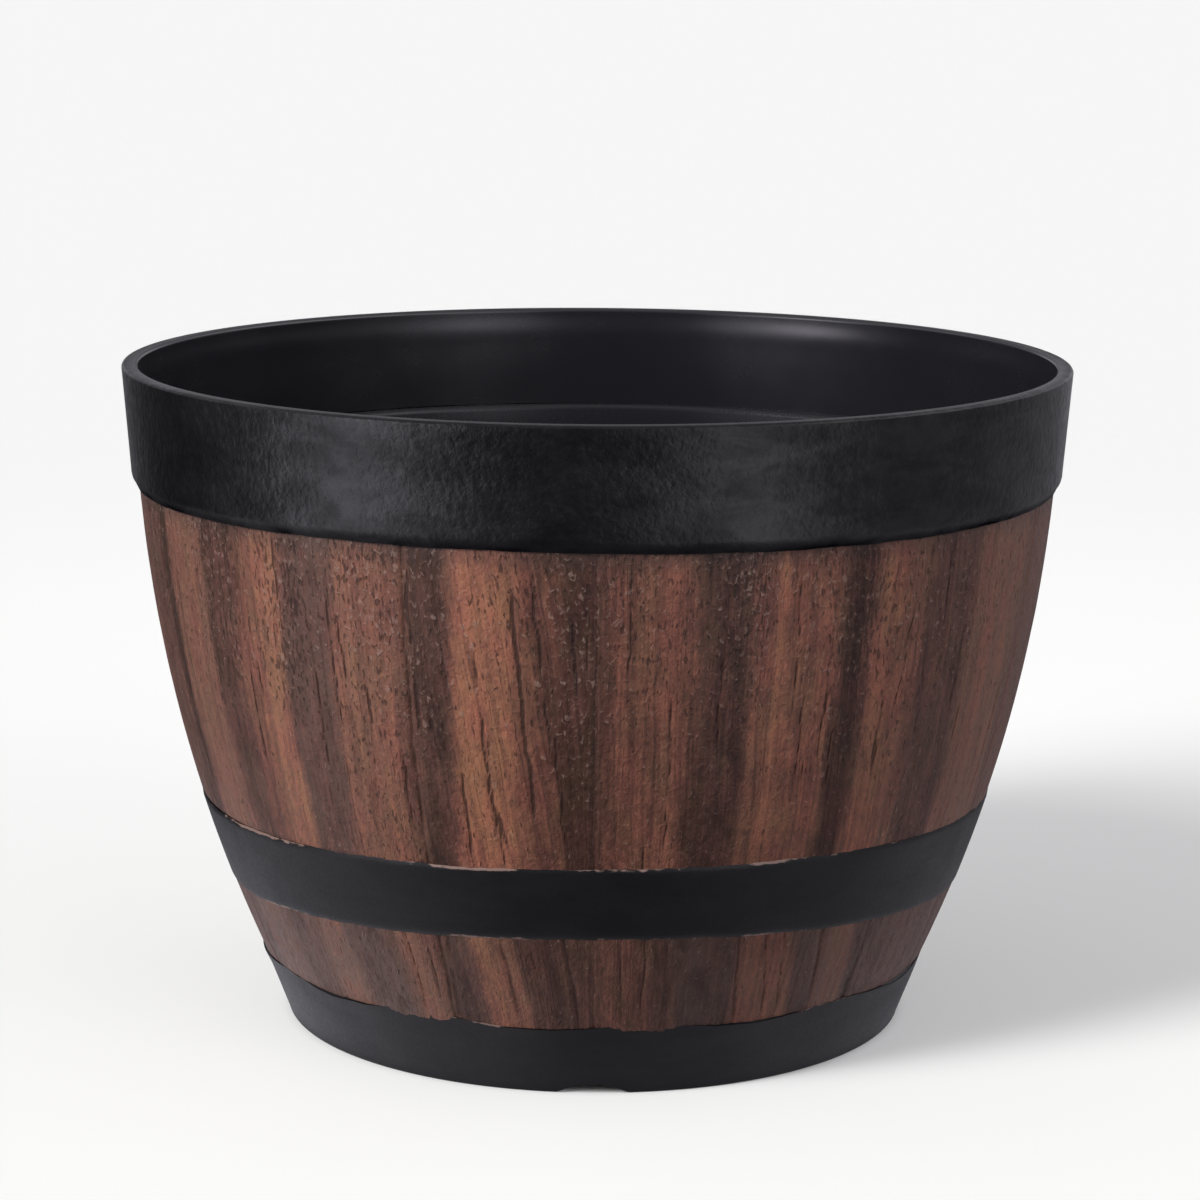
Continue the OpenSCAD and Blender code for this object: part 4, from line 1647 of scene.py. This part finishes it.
@dataclass
class FootRing:
    """The black ring that the planter stands on, with arched drain notches cut through its lower edge.

    Attributes:
        line: The staves' line.
        top_z: Height of its top.
        base_r: Radius at the ground.
        flange_t: Thickness of the flange that the shell stands on.
        seat: How far the ring's inner face lies inside the staves' line.
        proud: How far its top stands out of the staves.
        wall: The shell wall's thickness.
        lap: How far the flange reaches in past the wall.
        edge_round: Radius of the edge at the ground.
        notch_count: Drain notches.
        notch_w: Width of a notch at the ground.
        notch_h: Height of its arch.
        columns: Steps round the ring.
        paint: How the upper edge wanders.
        paint_reach: How far down the ring that wander fades.
        top_bare_and_glint: How readily the print shows at the top edge, lightened there as a painted
            highlight.
        bare_and_glint_reach: How far down it shows.
    """

    line: StaveLine
    top_z: float
    base_r: float = 126.5 * MM
    flange_t: float = 5.0 * MM
    seat: float = 1.25 * MM
    proud: float = 0.2 * MM
    wall: float = 4.6 * MM
    lap: float = 1.0 * MM
    edge_round: float = 1.5 * MM
    notch_count: int = 4
    notch_w: float = 28.0 * MM
    notch_h: float = 3.8 * MM
    columns: int = 1440
    paint: PaintLine = PaintLine(((2.0, 0.5, 0.0), (3.0, 0.3, -20.0), (10.0, 1.2, 8.0)), 0.40 * MM, 31)
    paint_reach: float = 8.0 * MM
    top_bare_and_glint: float = 0.88
    bare_and_glint_reach: float = 1.4 * MM

    def surface(self) -> Turned:
        """Returns the ring, whose lower points are lifted onto the notches' arches.

        An arch's radius is half the width squared plus the height squared, over twice the height.
        """
        rim_r = float(self.line.radius(self.flange_t, self.seat + 0.15 * MM)) - self.wall - self.lap
        top_r = float(self.line.radius(self.top_z)) + self.proud
        turn = self.edge_round
        face = straight((self.base_r, turn), (top_r, self.top_z - self.proud), 12)
        profile = np.concatenate([
            straight((rim_r, 0.0), (self.base_r - turn, 0.0), 5),
            corner((self.base_r - turn, turn), turn, -90.0, 0.0, 8)[1:],
            face[1:],
            [[top_r - 0.3 * MM, self.top_z - 0.3 * MM], [top_r - self.proud, self.top_z]],
            self.line.run(self.top_z, self.flange_t, self.seat, 8),
            straight((rim_r, self.flange_t), (rim_r, 0.0), 4)[:-1],
        ])
        surface = Turned.from_profile(profile, self.columns)
        outside = surface.r > self.line.radius(surface.z) - 0.3 * MM
        pull = smooth_step(surface.z, self.top_z - self.paint_reach, self.top_z) * outside
        surface.z = surface.z + pull * self.paint.offset(surface.azimuth())
        arch_r = ((self.notch_w / 2.0) ** 2 + self.notch_h ** 2) / (2.0 * self.notch_h)
        pitch = FULL_TURN / self.notch_count
        away = (surface.azimuth() + pitch / 2.0) % pitch - pitch / 2.0
        across = np.abs(surface.r * np.sin(away))
        arch = self.notch_h - arch_r + np.sqrt(np.maximum(arch_r ** 2 - across ** 2, 0.0))
        surface.z = np.maximum(surface.z, arch)
        return surface

    def build(self, finish: bpy.types.Material) -> bpy.types.Object:
        """Makes the ring.

        Args:
            finish: The ring's finish.

        Returns:
            The new piece.
        """
        surface = self.surface()
        made = surface.build("foot")
        height = surface.z - self.top_z
        surface.put_attribute(made, "calm", 0.0 * height)
        surface.put_attribute(made, "matte", 0.0 * height)
        # The print shows along the top edge, lightened there as a painted highlight, most at the listed
        # spots.
        wear_and_glint = wear_and_glint_share(surface.azimuth(), FOOT_WEAR_AND_GLINT)
        bare_and_glint = self.top_bare_and_glint * smooth_step(height, -self.bare_and_glint_reach, 0.0)
        surface.put_attribute(made, "bare_and_glint", bare_and_glint * wear_and_glint)
        made.data.set_sharp_from_angle(angle=math.radians(40.0))
        made.data.materials.append(finish)
        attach(made, BODY)
        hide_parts("foot_ring")
        return made


@dataclass
class DrainPlug:
    """A rubber bung with a flange that lies on the floor and a tab to pull it by.

    Attributes:
        number: Which of the plugs it is, from 1.
        floor_top: Height of the planting floor.
        floor_z: Height of the floor's underside.
        gap: Gap between the shank and the hole.
        taper: How far the shank draws in on its way down.
        reach: How far the tip stands out under the floor.
        tab_round: Radius of the tab's upper corners.
        tab_sink: How far the tab reaches down into the flange.
        circle: Diameter of the circle that the plugs stand on.
        count: Plugs on that circle.
    """

    number: int
    floor_top: float = 13.0 * MM
    floor_z: float = 9.0 * MM
    hole_r: float = 8.0 * MM
    gap: float = 0.08 * MM
    taper: float = 0.9 * MM
    reach: float = 1.8 * MM
    flange_r: float = 12.5 * MM
    flange_t: float = 2.4 * MM
    tab_w: float = 15.0 * MM
    tab_h: float = 10.0 * MM
    tab_t: float = 3.2 * MM
    tab_round: float = 4.0 * MM
    tab_sink: float = 1.0 * MM
    soft_edge: float = 0.6 * MM
    circle: float = 150.0 * MM
    count: int = 4

    def bung(self) -> Turned:
        """Returns the shank and flange, turned about the z axis."""
        tip_z = self.floor_z - self.reach
        top_z = self.floor_top + self.flange_t
        shank_r = self.hole_r - self.gap
        edge = self.soft_edge
        profile = np.concatenate([
            straight((0.0, tip_z), (shank_r - self.taper - edge, tip_z), 3),
            corner((shank_r - self.taper - edge, tip_z + edge), edge, -90.0, 0.0, 4)[1:],
            straight((shank_r, self.floor_top), (self.flange_r - edge, self.floor_top), 2),
            corner((self.flange_r - edge, self.floor_top + edge), edge, -90.0, 0.0, 4)[1:],
            corner((self.flange_r - 2.0 * edge, top_z - 2.0 * edge), 2.0 * edge, 0.0, 90.0, 6),
            straight((self.flange_r - 2.0 * edge, top_z), (0.0, top_z), 5)[1:],
        ])
        return Turned.from_profile(profile, 96, loop=False)

    def tab(self) -> tuple[np.ndarray, list[np.ndarray]]:
        """Makes the finger tab: an outline with round upper corners, carried through the tab's thickness.

        Returns:
            Vertex places, and faces of four corners and of the two end caps.
        """
        top_z = self.floor_top + self.flange_t
        half_w = self.tab_w / 2.0
        centre_y = half_w - self.tab_round
        centre_z = top_z + self.tab_h - self.tab_round
        foot_z = top_z - self.tab_sink

        def outline(shrink: float) -> np.ndarray:
            """Goes round the tab, from its right upper corner to its feet.

            Args:
                shrink: How far the outline is drawn in.

            Returns:
                Rows of y and z.
            """
            turn = self.tab_round - shrink
            right = corner((centre_y, centre_z), turn, 0.0, 90.0, 8)
            left = corner((-centre_y, centre_z), turn, 90.0, 180.0, 8)
            feet = np.array([[shrink - half_w, foot_z], [half_w - shrink, foot_z]])
            return np.concatenate([right, left, feet])

        half_t = self.tab_t / 2.0
        edge = self.soft_edge
        near = 0.3 * edge
        levels = (
            (-half_t, edge), (-half_t + near, near), (-half_t + edge, 0.0),
            (half_t - edge, 0.0), (half_t - near, near), (half_t, edge),
        )
        rings = [np.insert(outline(shrink), 0, x, axis=1) for x, shrink in levels]
        count = len(rings[0])
        j = np.arange(count)
        ahead = (j + 1) % count
        last = (len(levels) - 1) * count
        sides = [
            np.stack([first + j, first + ahead, first + count + ahead, first + count + j], axis=1)
            for first in range(0, last, count)
        ]
        caps = np.stack([j[::-1], last + j])
        return np.concatenate(rings), [np.concatenate(sides), caps]

    def build(self, finish: bpy.types.Material) -> bpy.types.Object:
        """Makes the plug at its hole.

        Args:
            finish: The rubber.

        Returns:
            The new piece.
        """
        made = self.bung().build(f"plug_{self.number}")
        points, faces = self.tab()
        tab = new_mesh_object("tab", points, faces)
        with bpy.context.temp_override(active_object=made, selected_editable_objects=[made, tab]):
            bpy.ops.object.join()
        turn = Matrix.Rotation((self.number - 1) * FULL_TURN / self.count, 4, "Z")
        made.data.transform(turn @ Matrix.Translation((self.circle / 2.0, 0.0, 0.0)))
        made.data.set_sharp_from_angle(angle=math.radians(60.0))
        made.data.materials.append(finish)
        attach(made, f"plug_{self.number}")
        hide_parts(f"drain_plug_{self.number}")
        return made


@dataclass
class Planter:
    """The whole planter: shell, collar, hoop, foot ring and plugs, with its sizes read from the frame.

    Attributes:
        base_r: Radius of the staves' line at the ground.
        arc_r: Radius of the arc that the staves follow.
        plug_count: Drain plugs.
    """

    base_r: float = 123.1 * MM
    arc_r: float = 585.0 * MM
    plug_count: int = 4

    def build(self) -> None:
        """Builds and dresses every piece, and logs each."""
        shell_low, shell_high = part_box("barrel_shell")
        collar_low, collar_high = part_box("rim_collar")
        hoop_low, hoop_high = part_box("middle_hoop")
        _, foot_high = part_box("foot_ring")
        line = StaveLine(shell_high.x, shell_high.z, self.base_r, self.arc_r)
        wood = WoodPrint().material()
        cast = BlackResin("cast_black", 0.00042, 0.0032, (0.31, 0.38), 0.35, mottle=0.14).material()
        # The inner wall's black is lighter than the outer blacks: painted light on the inside, over the
        # resin's own black.
        satin = BlackResin(
            "satin_black_painted_light", 0.00001, 0.0016, (0.22, 0.28), 0.20, (0.0135, 0.0130, 0.0160)
        ).material()
        smooth = BlackResin("smooth_black", 0.00009, 0.0012, (0.44, 0.52), 0.30).material()
        rubber = BlackResin(
            "plug_rubber", 0.00008, 0.0008, (0.62, 0.74), 0.5, (0.014, 0.014, 0.014)
        ).material()
        shell = Shell(
            line, shell_high.z, shell_low.z, collar_low.z, (hoop_low.z, hoop_high.z), foot_high.z
        )
        made = shell.build(wood, satin)
        collar = RimCollar(line, collar_high.x, collar_high.z, collar_low.z, shell_high.z)
        made.append(Ring("collar", "rim_collar").build(collar.profile(), cast))
        hoop = MiddleHoop(line, hoop_low.z, hoop_high.z)
        made.append(Ring("hoop", "middle_hoop").build(hoop.profile(), smooth))
        made.append(FootRing(line, foot_high.z).build(smooth))
        for number in range(1, self.plug_count + 1):
            made.append(DrainPlug(number).build(rubber))
        for piece in made:
            LOG.info("%s: %d faces", piece.name, len(piece.data.polygons))


@dataclass(frozen=True)
class Studio:
    """Camera, lamps, floor and surroundings, in metres and degrees.

    The room, the walls and the floors are lists of azimuth and brightness. The camera sees none of them: they
    light the planter, and they are what it mirrors.

    Attributes:
        distance: From the barrel's axis to the camera, along the floor.
        eye_z: The camera's height.
        pitch: How far the camera looks down.
        roll: How far it is turned about its own axis.
        focal_px: Focal length in pixels of a square frame.
        frame_px: Width of that frame.
        centre_px: Pixels from the frame's middle to the optical axis, to the left.
        sensor_mm: Width of the camera's sensor.
        key_azimuth: Where the key light stands: an upright strip made of several round lamps.
        key_elevations: Height of each of its lamps over the horizon.
        key_strength: Strength of each.
        key_angle: How wide each looks.
        fill: Azimuth, elevation, strength and width of the lamp on the other side.
        backdrop_level: Brightness of the backdrop.
        floor_albedo: How much light the floor gives back to the camera.
        floor_tint: What evens out the room's tint on the floor.
        floor_glow: Brightness of the floor where no light falls on it.
        floor_fade: What the glow loses far from the planter, which blocks less of the room's light there.
        fade_r: Radii between which it loses that.
        shade_r: Radii under the planter between which the glow is gone.
        side_r: Radii between which the glow gains what open_side gives.
        floor_size: Width of the floor.
        room: The lit cards low in the room.
        walls: The walls above them.
        walls_rise: Sines of the elevations between which the cards turn into the walls.
        ceiling: Colour of the ceiling.
        ceiling_rise: Sines of the elevations between which the walls turn into the ceiling.
        room_tint: Colour of the room's cards, walls and mirrored floor.
        far_floor: The floor far from the planter, as the planter's collar mirrors it.
        open_side: What the glow gains close to the planter, on the side that the key light comes from:
            painted light that lifts the shade the planter casts on the floor there.
        near_floor: The floor round the planter, as its hoop mirrors it.
        foot_floor: The floor close to the foot.
        near_r: Radii between which foot_floor turns into near_floor.
        far_r: Radii between which near_floor turns into far_floor.
    """

    distance: float = 1.4288
    eye_z: float = 0.4448
    pitch: float = 10.962
    roll: float = 0.395
    focal_px: float = 3560.5
    frame_px: float = 1200.0
    centre_px: float = 4.12
    sensor_mm: float = 36.0
    key_azimuth: float = -50.0
    key_elevations: tuple[float, ...] = (26.0, 35.0, 44.0)
    key_strength: float = 1.01
    key_angle: float = 17.0
    fill: tuple[float, float, float, float] = (42.0, 18.0, 0.5, 40.0)
    backdrop_level: float = 0.922
    floor_albedo: float = 0.70
    floor_tint: tuple[float, float, float] = (1.0, 1.006, 0.974)
    floor_glow: float = 0.261
    floor_fade: float = 0.070
    fade_r: tuple[float, float] = (0.4, 1.6)
    shade_r: tuple[float, float] = (0.119, 0.131)
    side_r: tuple[float, float] = (0.45, 0.14)
    floor_size: float = 60.0
    room: Levels = (
        (-180, 0.20), (-163, 0.68), (-148, 0.22), (-125, 0.02), (-100, 0.02), (-80, 0.14), (-57, 3.40),
        (-42, 1.60), (-24, 0.08), (-8, 0.05), (10, 0.12), (23, 1.00), (34, 1.55), (46, 0.66), (60, 0.15),
        (105, 0.18), (140, 0.26), (162, 0.68), (180, 0.20),
    )
    walls: Levels = (
        (-180, 0.12), (-150, 0.30), (-110, 0.60), (-70, 0.60), (-40, 0.30), (0, 0.10), (30, 0.55),
        (65, 1.35), (110, 1.15), (150, 0.40), (180, 0.12),
    )
    walls_rise: tuple[float, float] = (0.17, 0.34)
    ceiling: tuple[float, float, float] = (0.34, 0.34, 0.35)
    ceiling_rise: tuple[float, float] = (0.55, 0.85)
    room_tint: tuple[float, float, float] = (0.99, 0.965, 1.065)
    far_floor: Levels = (
        (-180, 0.16), (-163, 0.53), (-148, 0.17), (-125, 0.02), (-100, 0.02), (-80, 0.11), (-57, 1.76),
        (-42, 0.86), (-24, 0.06), (-8, 0.04), (10, 0.09), (23, 0.78), (34, 1.09), (46, 0.51), (60, 0.18),
        (105, 0.22), (140, 0.23), (162, 0.53), (180, 0.16),
    )
    open_side: Levels = (
        (-180, 0.01), (-120, 0.04), (-60, 0.045), (-10, 0.025), (15, 0.010), (40, 0.0), (120, 0.0),
        (180, 0.01),
    )
    near_floor: Levels = (
        (-180, 0.45), (-152, 0.76), (-125, 0.46), (-80, 0.63), (-50, 0.33), (-20, 0.07), (20, 0.06),
        (50, 0.22), (90, 0.41), (130, 0.22), (180, 0.42),
    )
    foot_floor: Levels = (
        (-180, 0.25), (-125, 0.20), (-80, 0.76), (-50, 0.75), (-22, 0.50), (0, 0.28), (20, 0.33),
        (35, 0.42), (60, 0.44), (90, 0.34), (130, 0.04), (180, 0.20),
    )
    near_r: tuple[float, float] = (0.165, 0.21)
    far_r: tuple[float, float] = (0.24, 0.5)

    def camera(self) -> None:
        """Places the camera at the photograph's view."""
        data = bpy.data.cameras.new("camera")
        data.sensor_width = self.sensor_mm
        data.lens = self.focal_px / self.frame_px * self.sensor_mm
        data.shift_x = self.centre_px / self.frame_px
        data.clip_end = 200.0
        camera = bpy.data.objects.new("camera", data)
        bpy.context.scene.collection.objects.link(camera)
        tilt = Matrix.Rotation(math.radians(90.0 - self.pitch), 4, "X")
        roll = Matrix.Rotation(math.radians(self.roll), 4, "Z")
        camera.matrix_world = Matrix.Translation((0.0, -self.distance, self.eye_z)) @ (tilt @ roll)
        bpy.context.scene.camera = camera

    def lamp(self, name: str, azimuth: float, elevation: float, strength: float, angle: float) -> None:
        """Adds a distant round lamp, which isn't mirrored: what shines in the blacks is the room.

        Args:
            name: The lamp's name.
            azimuth: Where it stands, in degrees from the front towards +X.
            elevation: Its height over the horizon, in degrees.
            strength: Light on a surface that faces it, where pi shows a colour as it is.
            angle: How wide it looks, in degrees.
        """
        data = bpy.data.lights.new(name, "SUN")
        data.energy = strength
        data.angle = math.radians(angle)
        made = bpy.data.objects.new(name, data)
        made.rotation_euler = (math.radians(90.0 - elevation), 0.0, math.radians(azimuth))
        made.visible_glossy = False
        bpy.context.scene.collection.objects.link(made)

    def by_azimuth(self, graph: Graph, place: Socket, levels: Levels) -> Socket:
        """Reads a brightness off a list by azimuth, smoothly.

        Args:
            graph: The tree to add to.
            place: Coordinates about the planter's axis.
            levels: Azimuth in degrees and brightness, in rising order from -180 to 180.

        Returns:
            The brightness, as a colour with the room's tint.
        """
        quarter = {"Vector": place, "Rotation": (0.0, 0.0, math.radians(90.0))}
        turned = graph.node("Mapping", quarter).outputs["Vector"]
        round_it = graph.node("TexGradient", {"Vector": turned}, gradient_type="RADIAL").outputs["Fac"]
        stops = tuple(
            ((azimuth + 180.0) / 360.0, tuple(level * share for share in self.room_tint))
            for azimuth, level in levels
        )
        return graph.ramp(round_it, stops, "EASE")

    def surroundings(self) -> None:
        """Lights the scene from a room with lit cards, and shows the camera a plain pale backdrop."""
        world = bpy.data.worlds.new("studio")
        bpy.context.scene.world = world
        graph = Graph("studio_room")
        bpy.data.materials.remove(graph.material)
        world.use_nodes = True
        graph.tree = world.node_tree
        graph.tree.nodes.clear()
        place = graph.node("TexCoord").outputs["Generated"]
        height = graph.node("SeparateXYZ", {0: place}).outputs["Z"]
        rise = graph.span(height, *self.walls_rise)
        cards = self.by_azimuth(graph, place, self.room)
        level = graph.mix(rise, cards, self.by_azimuth(graph, place, self.walls))
        level = graph.mix(graph.span(height, *self.ceiling_rise), level, self.ceiling)
        room = graph.node("Background", {"Color": level})
        seen = graph.node("Background", {"Strength": self.backdrop_level})
        graph.node("OutputWorld", {"Surface": self.for_camera(graph, room, seen)})

    @staticmethod
    def for_camera(graph: Graph, rest: bpy.types.Node, seen: bpy.types.Node) -> Socket:
        """Returns a shader that shows the camera what seen gives, and light and mirrors what rest gives."""
        straight_on = graph.node("LightPath").outputs["Is Camera Ray"]
        return graph.node("MixShader", {0: straight_on, 1: rest.outputs[0], 2: seen.outputs[0]}).outputs[0]

    def floor(self) -> None:
        """Lays a pale floor: the camera sees the planter's shadow on it, the planter mirrors a darker one."""
        half = self.floor_size / 2.0
        corners = np.array([[-half, -half, 0.0], [half, -half, 0.0], [half, half, 0.0], [-half, half, 0.0]])
        made = new_mesh_object("floor", corners, [np.array([[0, 1, 2, 3]])])
        graph = Graph("pale_floor")
        place = graph.place()
        away = graph.node("VectorMath", {0: place}, operation="LENGTH").outputs["Value"]
        pale = (*(self.floor_albedo * share for share in self.floor_tint), 1.0)
        diffuse = graph.node("BsdfDiffuse", {"Color": pale})
        glow = graph.span(away, *self.shade_r, 0.0, self.floor_glow)
        glow = graph.less(glow, graph.span(away, *self.fade_r, 0.0, self.floor_fade))
        # Painted light: near the planter, on the key light's side, the glow rises to lift the floor's shade.
        near = graph.times(graph.span(away, *self.side_r), self.by_azimuth(graph, place, self.open_side))
        glow = graph.add(glow, graph.times(near, graph.span(away, *self.shade_r)))
        glow = graph.node("Emission", {"Strength": glow})
        shown = graph.node("AddShader", {0: diffuse.outputs[0], 1: glow.outputs[0]})
        level = self.by_azimuth(graph, place, self.foot_floor)
        for radii, levels in ((self.near_r, self.near_floor), (self.far_r, self.far_floor)):
            level = graph.mix(graph.span(away, *radii), level, self.by_azimuth(graph, place, levels))
        level = graph.mix(graph.span(away, *self.shade_r), (0.0, 0.0, 0.0), level)
        mirrored = graph.node("Emission", {"Color": level})
        graph.node("OutputMaterial", {"Surface": self.for_camera(graph, mirrored, shown)})
        made.data.materials.append(graph.material)

    def build(self) -> None:
        """Sets up the whole studio."""
        bpy.context.scene.view_settings.view_transform = "Standard"
        self.camera()
        for number, elevation in enumerate(self.key_elevations):
            self.lamp(f"key_{number + 1}", self.key_azimuth, elevation, self.key_strength, self.key_angle)
        self.lamp("fill", *self.fill)
        self.surroundings()
        self.floor()


def main() -> None:
    """Builds the studio and the planter."""
    logging.basicConfig(level=logging.INFO, format="%(name)s: %(message)s")
    Studio().build()
    Planter().build()


if __name__ == "__main__":
    main()
